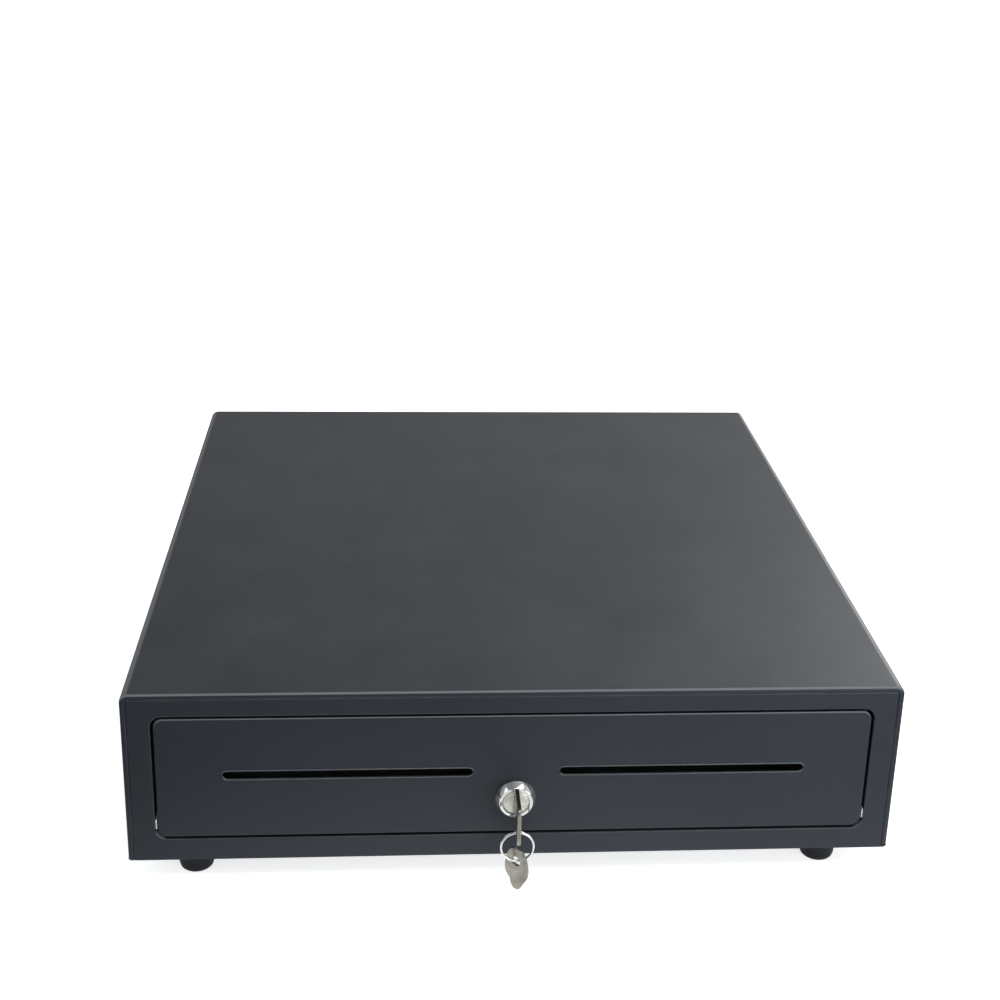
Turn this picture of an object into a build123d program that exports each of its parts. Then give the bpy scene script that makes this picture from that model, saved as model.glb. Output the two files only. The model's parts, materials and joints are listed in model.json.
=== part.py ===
from build123d import *
from math import cos, radians, sin
import os

os.makedirs("parts", exist_ok=True)

# Housing: a bent steel cover on a base plate, all in millimetres
case_width = 410.0
case_half = case_width / 2
case_depth = 415.0
case_height = 100.0
case_sheet = 1.0
case_bend = 5.0
foot_height = 15.0
front_lip = 3.0
rear_flange = 10.0
sheet_bend = 1.5
cut_overrun = 5.0
hole_play = 0.2

# Front frame round the drawer opening
frame_sheet = 1.2
frame_inset = 3.25
frame_corner = 2.0
opening_side = 15.0
opening_half = case_half - opening_side
opening_low = 12.8
opening_drop = 13.1
opening_high = case_height - opening_drop
opening_corner = 6.0
frame_return = 12.0

# Feet and case screws
foot_radius = 9.3
foot_taper = 0.8
foot_round = 3.5
foot_recess = 3.5
foot_recess_depth = 8.0
foot_head_radius = 3.0
foot_head = 2.7
foot_side = 33.5
foot_front = 17.5
foot_back = 30.0
screw_radius = 2.0
screw_head_radius = 4.0
screw_head = 1.8
screw_length = 6.0
bottom_screw_front = 60.0
bottom_screw_back = 65.0

# Base plate and rear panel
base_upturn = 10.0
bead_x = 70.0
bead_end = 87.5
bead_width = 16.0
bead_height = 3.0
bead_slope = 20.0
rear_foot = 6.0

# Slides: three steel channels on each side, running on steel balls
slide_height = 31.0
slide_front = 13.0
slide_back = 54.0
slide_length = case_depth - slide_front - slide_back
rail_sheet = 1.2
rail_bend = 0.8
outer_web = 12.1
outer_flange = 16.9
outer_lip_at = 2.6
outer_lip_end = 15.4
middle_web = 9.4
middle_flange = 12.5
middle_lip_at = 3.0
middle_lip_end = 11.2
inner_web = 0.6
inner_flange = 8.1
inner_lip_at = 7.0
inner_lip_end = 9.5
ball_radius = 1.55
ball_out = 5.0
outer_ball_row = 14.7
inner_ball_row = 10.3
ball_play = 0.12
balls_per_row = 4
cage_sheet = 0.5
cage_length = 150.0
outer_cage_web = 10.75
inner_cage_web = 8.2
cage_edge = 3.55
cage_bend = 0.6
rivet_radius = 2.5
rivet_head = 4.0
rivet_head_height = 0.8
rivet_inset = 30.0

# Rail brackets between the slides and the base
bracket_sheet = 1.5
bracket_bend = 2.0
bracket_rise = 21.0
bracket_back = 39.0
bracket_front_gap = 1.2
bracket_hole = 9.0
bracket_holes = 5

# Drawer pan: a stepped steel tray that carries the cash tray
pan_sheet = 0.9
pan_side = 28.5
pan_half = case_half - pan_side
pan_floor = 18.1
shelf_gap = 0.85
pan_shelf = slide_height + outer_flange + rail_sheet / 2 + shelf_gap
pan_lip_gap = 3.5
pan_lip_half = opening_half - pan_lip_gap
pan_lip_drop = 11.9
pan_lip_top = opening_high - pan_lip_drop
pan_back = 53.0
pan_rear = case_depth - pan_back
pan_wall = 24.0
pan_wall_drop = 2.0
pan_tab = 18.0
tab_low = 24.0
tab_high = 46.0
pan_cut_half = 15.0
pan_cut_front = 12.0

# Drawer front
panel_side_gap = 1.5
panel_width = 2 * (opening_half - panel_side_gap)
panel_edge_gap = 1.6
panel_sheet = 1.2
panel_corner = 5.5
panel_return = 10.0
slot_x = 0.2347 * panel_width
slot_length = 0.3475 * panel_width
slot_rise = 2.15
slot_height = pan_shelf + slot_rise
slot_gap = 4.8
stud_side = 21.5
stud_low = 29.0
stud_high = 41.0
stud_radius = 2.0
stud_length = 6.5
nut_flats = 7.0
nut_height = 3.2

# Lock, key and key ring
lock_height = 35.2
bezel_radius = 10.75
bezel_rim = 1.2
bezel_front = 4.5
bezel_face = 8.2
barrel_radius = 9.5
barrel_length = 16.0
lock_nut_flats = 24.0
lock_nut_height = 3.0
plug_radius = 6.0
plug_play = 0.05
plug_face = 7.1
plug_face_depth = 1.3
plug_recess = 3.0
plug_tail = 8.0
keyway_width = 2.2
keyway_height = 8.5
keyway_depth = 14.0
cam_radius = 6.5
cam_thickness = 2.3
cam_pin_radius = 1.5
cam_reach = 9.0
cam_pin_length = 4.0
key_sheet = 2.0
blade_height = 8.0
blade_length = 13.0
bow_size = 22.0
bow_gap = 1.7
bow_corner = 6.0
bow_hole = 1.6
bow_hole_y = 20.0
bow_hole_drop = 7.7
ring_radius = 8.55
ring_wire = 0.75
spare_sheet = 1.8
spare_width = 15.5
spare_top = 7.6
spare_tip = 17.5
spare_hole = 2.4
spare_twist = 45.0

# Rod that carries the turn of the lock to the latch at the back
rod_radius = 1.75
rod_height = 15.9
rod_start = 18.8
rod_tail = 0.2
rod_play = 0.06
guide_half = 5.0
guide_length = 8.0
guide_low = 13.4
guide_shares = (0.17, 0.5, 0.83)
crank_sheet = 2.0
crank_hub = 2.4
fork_start = 19.2
fork_reach = 16.0
fork_half = 5.0
fork_slot = 5.0
fork_slot_start = 7.0
arm_gap = 2.2
arm_reach = 15.0
arm_width = 4.0

# Latch behind the pan: striker, hook, solenoid, switch and ejector
striker_sheet = 1.5
striker_half = 4.0
striker_low = 24.0
striker_high = 34.5
striker_pin_back = 10.0
striker_pin = 2.0
striker_reach = 14.0
pivot_x = 7.5
pivot_back = 34.0
pivot_radius = 2.5
pivot_play = 0.05
pivot_head = 4.0
pivot_head_height = 1.5
hook_low = 27.5
hook_thickness = 3.0
hook_band_in = 3.5
hook_band_out = 3.5
hook_tip_back = 4.0
hook_tooth = 3.4
tooth_reach = 10.5
hook_hub = 5.5
hook_swing = 14.0
link_drop = 14.0
link_pin = 1.5
link_pin_half = 3.5
latch_sheet = 1.5
latch_rear = 43.5
latch_front = 24.0
latch_left = -9.0
latch_right = 22.0
latch_shelf = 22.0
latch_top = 40.0
latch_foot = 14.0
solenoid_left = 33.0
solenoid_right = 62.0
coil_radius = 10.0
solenoid_sheet = 1.5
solenoid_floor = 17.0
solenoid_half = 10.0
plunger_radius = 4.0
plunger_play = 0.3
plunger_nose = 5.0
plunger_length = 46.0
plunger_slot = 4.0
plunger_slot_length = 15.0
plunger_hole = 2.3
spring_wire = 0.8
latch_spring_radius = 3.7
latch_spring_turns = 4
latch_spring_pitch = 1.3
ejector_x = -70.0
ejector_height = 30.0
ejector_tube = 7.0
ejector_bore = 5.5
ejector_front = 9.0
ejector_wall = 1.5
ejector_shaft = 2.5
ejector_head = 7.0
ejector_head_thick = 3.2
ejector_gap = 0.3
ejector_collar = 36.0
ejector_collar_thick = 2.0
ejector_spring_radius = 4.2
ejector_spring_turns = 5
switch_x = -30.0
switch_width = 20.0
switch_depth = 8.0
switch_low = 24.0
switch_height = 11.0
switch_front = 16.0
switch_post = 3.0
switch_blade = 0.5
switch_roller = 2.2
jack_x = 120.0
jack_height = 30.0
jack_width = 13.0
jack_tall = 14.0
jack_length = 18.0
jack_gap_width = 9.8
jack_gap_tall = 6.8
jack_gap_depth = 12.0
jack_notch_width = 4.2
jack_notch_tall = 2.4
lead_radius = 1.5

# Cash tray and what it carries
tray_end_gap = 3.0
tray_rim_gap = 2.2
tray_gap = 1.9
tray_wall = 2.2
tray_floor_thick = 2.0
tray_rim_thick = 2.6
tray_end_rim = 3.0
tray_corner = 4.0
coin_inset = 12.0
coin_length = 118.0
coin_drop = 1.5
coin_wall = 1.8
coin_relief = 3.5
coin_columns = 4
coin_rows = 2
divider_count = 4
divider_sheet = 2.0
divider_drop = 3.0
divider_round = 14.0
compartments = 5
rib_sheet = 1.8
rib_rear_half = 20.5
rib_front_half = 17.0
rib_rear_gap = 6.0
rib_front_gap = 43.0
rib_height = 20.0
bar_width = 41.0
bar_sheet = 1.2
bar_drop = 17.0
bar_end_gap = 0.6
bar_screw_inset = 18.0
bar_screw_head = 1.5
notch_half = 6.0
notch_depth = 14.5
notch_round = 5.0
boss_radius = 4.0
pin_inset = 7.0
pin_drop = 4.0
pin_radius = 1.5
pin_play = 0.06
clip_wire = 1.25
clip_hub = 3.0
clip_hub_half = 7.0
clip_stem = 22.0
clip_rest = 7.62
clip_half = 5.0
clip_droop = 34.0
clip_spring_radius = 3.9
clip_spring_wire = 0.5
clip_spring_turns = 3
handle_half = 59.5
handle_thick = 6.0
handle_reach = 28.0
handle_inset = 7.0
handle_bend = 13.0
ear_width = 4.0
ear_play = 0.3
ear_pin = 1.6

# The origin lies under the middle of the whole object: key in front, screw heads behind
front_reach = bezel_front + bow_gap + bow_size
front_y = (front_reach - case_depth - screw_head) / 2

# Places that follow from the case: feet and screws, slides, drawer front and pan
foot_x = case_half - foot_side
foot_rear = case_depth - foot_back
bottom_screw_rear = case_depth - bottom_screw_back
bead_length = case_depth - 2 * bead_end
slide_middle = slide_front + slide_length / 2
bracket_top = slide_height + bracket_rise
bracket_rear = case_depth - bracket_back
panel_low = opening_low + panel_edge_gap
panel_high = opening_high - panel_edge_gap
stud_x = panel_width / 2 - stud_side
pan_wall_top = pan_lip_top - pan_wall_drop

# Places that follow from the pan's rear wall: rod, latch, ejector and switch
arm_start = pan_rear + arm_gap
rod_end = arm_start + crank_sheet + rod_tail
striker_pin_y = pan_rear + striker_pin_back
pivot_y = pan_rear + pivot_back
hook_tip = pan_rear + hook_tip_back
latch_back_y = pan_rear + latch_rear
latch_front_y = pan_rear + latch_front
ejector_front_y = pan_rear + ejector_front
collar_y = pan_rear + ejector_collar
switch_y = pan_rear + switch_front

# Places that follow from the pan's rim and walls: the cash tray and what it carries
tray_front = pan_wall + tray_end_gap
tray_rear = pan_rear - tray_end_gap
tray_rim_half = pan_lip_half - tray_rim_gap
tray_half = pan_half - tray_gap
tray_floor = pan_floor + tray_gap
tray_rim_low = pan_lip_top
tray_rim_top = tray_rim_low + tray_rim_thick
coin_front = tray_front + coin_inset
coin_rear = coin_front + coin_length
coin_top = pan_lip_top - coin_drop
divider_top = pan_lip_top - divider_drop
clip_step = 2 * tray_half / compartments
bar_front = tray_rear - bar_width
bar_screw_y = bar_front + bar_screw_inset
rib_rear = bar_front - rib_rear_gap
rib_front = coin_rear + rib_front_gap
pin_y = bar_front + pin_inset
pin_height = pan_lip_top - pin_drop
clip_drop = pin_height - tray_floor - tray_floor_thick - clip_rest
clip_reach = clip_drop / sin(radians(clip_droop))
handle_y = tray_rear - handle_inset


def back(depth):
    """Y of a place this far behind the front plane."""
    return front_y + depth


def up(height):
    """Z of a place this far above the housing's underside."""
    return foot_height + height


def save(piece, name):
    """Label a finished piece and write it."""
    piece.part.label = name
    export_step(piece.part, f"parts/{name}.step")


def across(depth):
    """An upright plane across the drawer, this far behind the front."""
    return Plane.XZ.offset(-back(depth))


def block(x_span, y_span, z_span, mode=Mode.ADD):
    """A block between two places along each axis, from the front plane and the underside."""
    with Locations((x_span[0], back(y_span[0]), up(z_span[0]))):
        Box(
            x_span[1] - x_span[0],
            y_span[1] - y_span[0],
            z_span[1] - z_span[0],
            align=(Align.MIN, Align.MIN, Align.MIN),
            mode=mode,
        )


def rod(radius, start, direction, length, mode=Mode.ADD):
    """A round rod from a place along a direction."""
    place = Plane(origin=(start[0], back(start[1]), up(start[2])), z_dir=direction)
    with Locations(place.location):
        Cylinder(radius, length, align=(Align.CENTER, Align.CENTER, Align.MIN), mode=mode)


# Cover: top and sides in one sheet, lips turned in at the front, rear and bottom
frame_half = case_half - frame_inset
frame_top = case_height - frame_inset
with BuildPart() as cover_shell:
    with BuildSketch(across(0)):
        with BuildLine():
            low, high = up(case_sheet / 2), up(case_height - case_sheet / 2)
            side = case_half - case_sheet / 2
            FilletPolyline(
                (rear_flange - case_half, low),
                (-side, low),
                (-side, high),
                (side, high),
                (side, low),
                (case_half - rear_flange, low),
                radius=[sheet_bend, case_bend - case_sheet / 2, case_bend - case_sheet / 2, sheet_bend],
            )
        trace(line_width=case_sheet)
    extrude(amount=-case_depth)
    with BuildSketch(across(0)):
        with BuildLine():
            FilletPolyline(
                (front_lip / 2 - case_half, up(sheet_bend)),
                (front_lip / 2 - case_half, up(case_height - front_lip / 2)),
                (case_half - front_lip / 2, up(case_height - front_lip / 2)),
                (case_half - front_lip / 2, up(sheet_bend)),
                radius=case_bend - front_lip / 2,
            )
        trace(line_width=front_lip)
    extrude(amount=-case_sheet)
    with BuildSketch(across(case_depth)) as rear_band:
        with Locations((0, up(case_height / 2))):
            Rectangle(case_width, case_height)
        fillet(rear_band.vertices().group_by(Axis.Y)[-1], radius=case_bend)
        with Locations((0, up(0))):
            Rectangle(
                case_width - 2 * rear_flange,
                case_height - rear_flange,
                align=(Align.CENTER, Align.MIN),
                mode=Mode.SUBTRACT,
            )
    extrude(amount=case_sheet)
    block(
        (-frame_half - hole_play, frame_half + hole_play),
        (-cut_overrun, frame_sheet + hole_play),
        (-cut_overrun, case_sheet),
        Mode.SUBTRACT,
    )
    rear_screws = [
        (rear_flange / 2 - case_half, case_depth, case_height / 2),
        (case_half - rear_flange / 2, case_depth, case_height / 2),
        (0, case_depth, case_height - rear_flange / 2),
    ]
    low_screws = [
        (side_x * (case_half - rear_flange / 2), depth, 0)
        for side_x in (-1, 1)
        for depth in (bottom_screw_front, bottom_screw_rear)
    ]
    for place in rear_screws:
        rod(screw_radius + hole_play, place, (0, -1, 0), cut_overrun, Mode.SUBTRACT)
    for place in low_screws:
        rod(screw_radius + hole_play, place, (0, 0, 1), cut_overrun, Mode.SUBTRACT)
save(cover_shell, "cover_shell")

# Front frame: flat face with returns round the opening and round its outside
opening_width = 2 * opening_half
opening_tall = opening_high - opening_low
opening_mid = (opening_high + opening_low) / 2
with BuildPart() as front_frame:
    with BuildSketch(across(0)) as face:
        with Locations((0, up(frame_top / 2))):
            Rectangle(2 * frame_half, frame_top)
        fillet(face.vertices().group_by(Axis.Y)[-1], radius=frame_corner)
    extrude(amount=-frame_sheet)
    with BuildSketch(across(0)):
        with Locations((0, up(opening_mid))):
            RectangleRounded(
                opening_width + 2 * frame_sheet, opening_tall + 2 * frame_sheet, opening_corner + frame_sheet
            )
    extrude(amount=-frame_return)
    with BuildSketch(across(0)):
        with Locations((0, up(opening_mid))):
            RectangleRounded(opening_width, opening_tall, opening_corner)
    extrude(amount=-frame_return, mode=Mode.SUBTRACT)
    for side_x in (-1, 1):
        wall = sorted((side_x * (frame_half - frame_sheet), side_x * frame_half))
        ear = sorted((side_x * (frame_half - frame_sheet), side_x * (case_half - case_sheet)))
        block(wall, (0, frame_return), (base_upturn + case_sheet, frame_top - frame_corner))
        ear_span = (base_upturn + 3 * case_sheet, case_height - case_bend)
        block(ear, (frame_return, frame_return + frame_sheet), ear_span)
    block(
        (frame_sheet - opening_half, opening_half - frame_sheet),
        (0, frame_return),
        (frame_top - frame_sheet, frame_top),
    )
    block(
        (frame_sheet - opening_half, opening_half - frame_sheet),
        (frame_return, frame_return + frame_sheet),
        (frame_top - frame_sheet, case_height - case_sheet),
    )
save(front_frame, "front_frame")

# Base plate: flat sheet with upturned sides and two pressed beads
base_half = case_half - case_sheet
base_rear = case_depth - 2 * case_sheet
with BuildPart() as base_plate:
    block((-base_half, base_half), (frame_sheet, base_rear), (case_sheet, 2 * case_sheet))
    for side_x in (-1, 1):
        wall = sorted((side_x * (base_half - case_sheet), side_x * base_half))
        block(wall, (frame_sheet, base_rear), (case_sheet, case_sheet + base_upturn))
    fillet(base_plate.edges().filter_by(Axis.Y).group_by(Axis.Z)[0], radius=sheet_bend)
    bead_top = Plane.XY.offset(up(case_sheet + bead_height))
    with BuildSketch(bead_top):
        with Locations((-bead_x, back(case_depth / 2)), (bead_x, back(case_depth / 2))):
            SlotOverall(bead_length, bead_width, rotation=90)
    extrude(amount=-bead_height, taper=-bead_slope)
    with BuildSketch(bead_top.offset(-case_sheet)):
        with Locations((-bead_x, back(case_depth / 2)), (bead_x, back(case_depth / 2))):
            SlotOverall(bead_length - 2 * case_sheet, bead_width - 2 * case_sheet, rotation=90)
    extrude(amount=-bead_height, taper=-bead_slope, mode=Mode.SUBTRACT)
    foot_places = [(side_x * foot_x, depth, 0) for side_x in (-1, 1) for depth in (foot_front, foot_rear)]
    for place in foot_places + low_screws:
        rod(screw_radius + hole_play, place, (0, 0, 1), cut_overrun, Mode.SUBTRACT)
save(base_plate, "base_plate")

# Rear panel: closes the back, with a foot on the base plate and the cable socket's window
panel_y = (case_depth - 2 * case_sheet, case_depth - case_sheet)
with BuildPart() as rear_panel:
    rear_span = (-base_half + case_sheet, base_half - case_sheet)
    block(rear_span, panel_y, (2 * case_sheet, case_height - case_sheet))
    fillet(rear_panel.edges().filter_by(Axis.Y).group_by(Axis.Z)[-1], radius=case_bend - case_sheet)
    block(rear_span, (panel_y[0] - rear_foot, panel_y[0]), (2 * case_sheet, 3 * case_sheet))
    jack_spans = (
        (jack_x - jack_width / 2, jack_x + jack_width / 2),
        (jack_height - jack_tall / 2, jack_height + jack_tall / 2),
    )
    block(jack_spans[0], (panel_y[0] - case_sheet, case_depth), jack_spans[1], Mode.SUBTRACT)
    for place in rear_screws:
        rod(screw_radius + hole_play, place, (0, -1, 0), cut_overrun, Mode.SUBTRACT)
save(rear_panel, "rear_panel")

# Four rubber feet, each with a deep recess for its screw
with BuildPart() as rubber_feet:
    for place in foot_places:
        rod(foot_radius - foot_taper, (place[0], place[1], -foot_height), (0, 0, 1), foot_taper)
    for place in foot_places:
        with Locations((place[0], back(place[1]), 0)):
            Cone(
                foot_radius - foot_taper,
                foot_radius,
                foot_height + case_sheet,
                align=(Align.CENTER, Align.CENTER, Align.MIN),
            )
    fillet(rubber_feet.edges().group_by(Axis.Z)[0], radius=foot_round)
    for place in foot_places:
        rod(foot_recess, (place[0], place[1], -foot_height), (0, 0, 1), foot_recess_depth, Mode.SUBTRACT)
        bore_from = (place[0], place[1], -foot_height)
        rod(screw_radius + hole_play, bore_from, (0, 0, 1), foot_height + cut_overrun, Mode.SUBTRACT)
save(rubber_feet, "rubber_feet")

with BuildPart() as feet_screws:
    for place in foot_places:
        head_from = (place[0], place[1], foot_recess_depth - foot_height - foot_head)
        rod(foot_head_radius, head_from, (0, 0, 1), foot_head)
        rod(screw_radius, head_from, (0, 0, 1), foot_height - foot_recess_depth + foot_head + 4 * case_sheet)
save(feet_screws, "feet_screws")

with BuildPart() as case_screws:
    for place in rear_screws:
        rod(screw_radius, place, (0, -1, 0), screw_length)
        rod(screw_head_radius, place, (0, 1, 0), screw_head)
    for place in low_screws:
        rod(screw_radius, place, (0, 0, 1), screw_length)
        rod(screw_head_radius, place, (0, 0, -1), screw_head)
    heads = case_screws.faces().filter_by(GeomType.PLANE).sort_by(Axis.Y)[-len(rear_screws):]
    chamfer(heads.edges(), length=screw_head / 3)
save(case_screws, "case_screws")


def slide_x(side_x, out):
    """X of a place in the slide, measured outwards from the pan's side wall."""
    return side_x * (pan_half + out)


def channel(side_x, web, flange, lip_at, lip_end, sheet, bend, start, length):
    """A rolled channel of one slide: web, two flanges and their turned lips."""
    with BuildPart() as member:
        with BuildSketch(across(start)):
            with BuildLine():
                FilletPolyline(
                    (slide_x(side_x, lip_at), up(slide_height - lip_end)),
                    (slide_x(side_x, lip_at), up(slide_height - flange)),
                    (slide_x(side_x, web), up(slide_height - flange)),
                    (slide_x(side_x, web), up(slide_height + flange)),
                    (slide_x(side_x, lip_at), up(slide_height + flange)),
                    (slide_x(side_x, lip_at), up(slide_height + lip_end)),
                    radius=bend,
                )
            trace(line_width=sheet)
        extrude(amount=-length)
    return member.part


def cage(side_x, web, row, start):
    """A thin ball cage: a web and two flanges with a round window for each ball."""
    with BuildPart() as member:
        with BuildSketch(across(start)):
            with BuildLine():
                FilletPolyline(
                    (slide_x(side_x, cage_edge), up(slide_height - row)),
                    (slide_x(side_x, web), up(slide_height - row)),
                    (slide_x(side_x, web), up(slide_height + row)),
                    (slide_x(side_x, cage_edge), up(slide_height + row)),
                    radius=cage_bend,
                )
            trace(line_width=cage_sheet)
        extrude(amount=-cage_length)
        for depth in ball_depths(start):
            for height in (slide_height - row, slide_height + row):
                hole_from = (slide_x(side_x, ball_out), depth, height - cage_sheet)
                rod(ball_radius + ball_play, hole_from, (0, 0, 1), 2 * cage_sheet, Mode.SUBTRACT)
    return member.part


def ball_depths(start):
    """Places of the balls along a cage."""
    pitch = cage_length / balls_per_row
    return [start + pitch * (index + 0.5) for index in range(balls_per_row)]


rivet_depths = (
    slide_front + rivet_inset,
    slide_middle,
    slide_front + slide_length - rivet_inset,
)
cage_start = slide_middle - cage_length / 2
outer_back = outer_web + rail_sheet / 2
bracket_front = frame_return + frame_sheet + bracket_front_gap
side_names = {-1: "left", 1: "right"}

# Rail brackets: folded channels that stand on the base and carry the outer rails
for side_x, side_name in side_names.items():
    with BuildPart() as rail_bracket:
        with BuildSketch(across(bracket_front)):
            web_at = slide_x(side_x, outer_back + bracket_sheet / 2)
            with BuildLine():
                FilletPolyline(
                    (side_x * (base_half - 2 * case_sheet), up(2 * case_sheet + bracket_sheet / 2)),
                    (web_at, up(2 * case_sheet + bracket_sheet / 2)),
                    (web_at, up(bracket_top)),
                    (side_x * base_half, up(bracket_top)),
                    radius=bracket_bend,
                )
            trace(line_width=bracket_sheet)
        extrude(amount=bracket_front - bracket_rear)
        for place in low_screws:
            rod(screw_radius + hole_play, place, (0, 0, 1), cut_overrun, Mode.SUBTRACT)
        for index in range(bracket_holes):
            depth = bracket_front + (bracket_rear - bracket_front) * (index + 1) / (bracket_holes + 1)
            if min(abs(depth - rivet_depth) for rivet_depth in rivet_depths) > bracket_hole + rivet_head:
                hole_from = (web_at, depth, slide_height)
                rod(bracket_hole, hole_from, (side_x, 0, 0), cut_overrun, Mode.SUBTRACT)
                rod(bracket_hole, hole_from, (-side_x, 0, 0), cut_overrun, Mode.SUBTRACT)
        for depth in rivet_depths:
            hole_from = (slide_x(side_x, 0), depth, slide_height)
            rod(rivet_radius, hole_from, (side_x, 0, 0), 2 * outer_back, Mode.SUBTRACT)
    save(rail_bracket, f"rail_bracket_{side_name}")

    with BuildPart() as rail_outer:
        add(
            channel(
                side_x, outer_web, outer_flange, outer_lip_at, outer_lip_end,
                rail_sheet, rail_bend, slide_front, slide_length,
            )
        )
        for depth in rivet_depths:
            hole_from = (slide_x(side_x, 0), depth, slide_height)
            rod(rivet_radius, hole_from, (side_x, 0, 0), 2 * outer_back, Mode.SUBTRACT)
    save(rail_outer, f"rail_outer_{side_name}")

    with BuildPart() as rail_middle:
        add(
            channel(
                side_x, middle_web, middle_flange, middle_lip_at, middle_lip_end,
                rail_sheet, rail_bend, slide_front, slide_length,
            )
        )
    save(rail_middle, f"rail_middle_{side_name}")

    with BuildPart() as rail_inner:
        add(
            channel(
                side_x, inner_web, inner_flange, inner_lip_at, inner_lip_end,
                rail_sheet, rail_bend, slide_front, slide_length,
            )
        )
        for depth in rivet_depths:
            hole_from = (slide_x(side_x, -pan_sheet), depth, slide_height)
            rod(rivet_radius, hole_from, (side_x, 0, 0), inner_flange, Mode.SUBTRACT)
    save(rail_inner, f"rail_inner_{side_name}")

# Balls and the cages that space them, one pair of rows outside and one inside the middle rail
for name, web, row in (("outer", outer_cage_web, outer_ball_row), ("inner", inner_cage_web, inner_ball_row)):
    with BuildPart() as cages:
        for side_x in side_names:
            add(cage(side_x, web, row, cage_start))
    save(cages, f"{name}_ball_cages")
    with BuildPart() as balls:
        ball_places = [
            (slide_x(side_x, ball_out), back(depth), up(height))
            for side_x in side_names
            for depth in ball_depths(cage_start)
            for height in (slide_height - row, slide_height + row)
        ]
        with Locations(*ball_places):
            Sphere(ball_radius)
    save(balls, f"{name}_balls")

# Rivets, flush on the side where a cage runs
with BuildPart() as rail_rivets:
    for side_x in side_names:
        for depth in rivet_depths:
            shank_from = (slide_x(side_x, outer_back - rail_sheet), depth, slide_height)
            rod(rivet_radius, shank_from, (side_x, 0, 0), rail_sheet + bracket_sheet)
            head_from = (slide_x(side_x, outer_back + bracket_sheet), depth, slide_height)
            rod(rivet_head, head_from, (side_x, 0, 0), rivet_head_height)
save(rail_rivets, "rail_rivets")

with BuildPart() as pan_rivets:
    for side_x in side_names:
        for depth in rivet_depths:
            shank_from = (slide_x(side_x, -pan_sheet), depth, slide_height)
            rod(rivet_radius, shank_from, (side_x, 0, 0), pan_sheet + rail_sheet)
            rod(rivet_head, shank_from, (-side_x, 0, 0), rivet_head_height - pan_sheet / 8)
save(pan_rivets, "pan_rivets")

# Drawer pan: one stepped sheet, with walls let in at the front and rear
slot_places = [(-slot_x, up(slot_height)), (slot_x, up(slot_height))]
stud_places = [(side_x * stud_x, height) for side_x in side_names for height in (stud_low, stud_high)]
wall_shapes = (
    (pan_wall, pan_wall_top),
    (pan_rear - pan_sheet, pan_lip_top),
)
with BuildPart() as drawer_pan:
    with BuildSketch(across(panel_sheet)):
        with BuildLine():
            floor_at = up(pan_floor + pan_sheet / 2)
            shelf_at = up(pan_shelf + pan_sheet / 2)
            wall_at, lip_at = pan_half - pan_sheet / 2, pan_lip_half - pan_sheet / 2
            FilletPolyline(
                (-lip_at, up(pan_lip_top)),
                (-lip_at, shelf_at),
                (-wall_at, shelf_at),
                (-wall_at, floor_at),
                (wall_at, floor_at),
                (wall_at, shelf_at),
                (lip_at, shelf_at),
                (lip_at, up(pan_lip_top)),
                radius=sheet_bend,
            )
        trace(line_width=pan_sheet)
    extrude(amount=panel_sheet - pan_rear)
    for depth, top in wall_shapes:
        with BuildSketch(across(depth)):
            with Locations((0, up(pan_floor + pan_sheet / 2))):
                Rectangle(2 * wall_at, pan_shelf - pan_floor, align=(Align.CENTER, Align.MIN))
            with Locations((0, shelf_at)):
                Rectangle(2 * lip_at, top - pan_shelf - pan_sheet / 2, align=(Align.CENTER, Align.MIN))
        extrude(amount=-pan_sheet)
    with BuildSketch(across(pan_wall - pan_sheet)):
        with Locations(*slot_places):
            SlotOverall(slot_length, slot_gap)
    extrude(amount=-3 * pan_sheet, mode=Mode.SUBTRACT)
    for side_x in side_names:
        tab = sorted((side_x * (pan_half - pan_tab), side_x * (pan_half - pan_sheet / 2)))
        block(tab, (panel_sheet, panel_sheet + pan_sheet), (tab_low, tab_high))
    for x, height in stud_places:
        rod(stud_radius + hole_play, (x, 0, height), (0, 1, 0), cut_overrun, Mode.SUBTRACT)
    block(
        (-pan_cut_half, pan_cut_half),
        (pan_cut_front, pan_wall),
        (pan_floor - pan_sheet, pan_floor + 2 * pan_sheet),
        Mode.SUBTRACT,
    )
    for side_x in side_names:
        for depth in rivet_depths:
            hole_from = (slide_x(side_x, -2 * pan_sheet), depth, slide_height)
            rod(rivet_radius, hole_from, (side_x, 0, 0), 3 * pan_sheet, Mode.SUBTRACT)
save(drawer_pan, "drawer_pan")

# Drawer front: a flat face with its edges turned back, two media slots and the lock's hole
panel_tall = panel_high - panel_low
panel_mid = (panel_high + panel_low) / 2
with BuildPart() as drawer_front:
    with BuildSketch(across(0)):
        with Locations((0, up(panel_mid))):
            RectangleRounded(panel_width, panel_tall, panel_corner)
    extrude(amount=-panel_return)
    fillet(drawer_front.faces().sort_by(Axis.Y)[0].edges(), radius=panel_sheet / 2)
    with BuildSketch(across(panel_sheet)):
        with Locations((0, up(panel_mid))):
            RectangleRounded(
                panel_width - 2 * panel_sheet, panel_tall - 2 * panel_sheet, panel_corner - panel_sheet
            )
    extrude(amount=-panel_return, mode=Mode.SUBTRACT)
    with BuildSketch(across(0)):
        with Locations(*slot_places):
            SlotOverall(slot_length, slot_gap)
    extrude(amount=-panel_return, mode=Mode.SUBTRACT)
    rod(barrel_radius + hole_play, (0, 0, lock_height), (0, 1, 0), panel_return, Mode.SUBTRACT)
    for x, height in stud_places:
        rod(stud_radius, (x, panel_sheet / 2, height), (0, 1, 0), stud_length)
save(drawer_front, "drawer_front")

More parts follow.
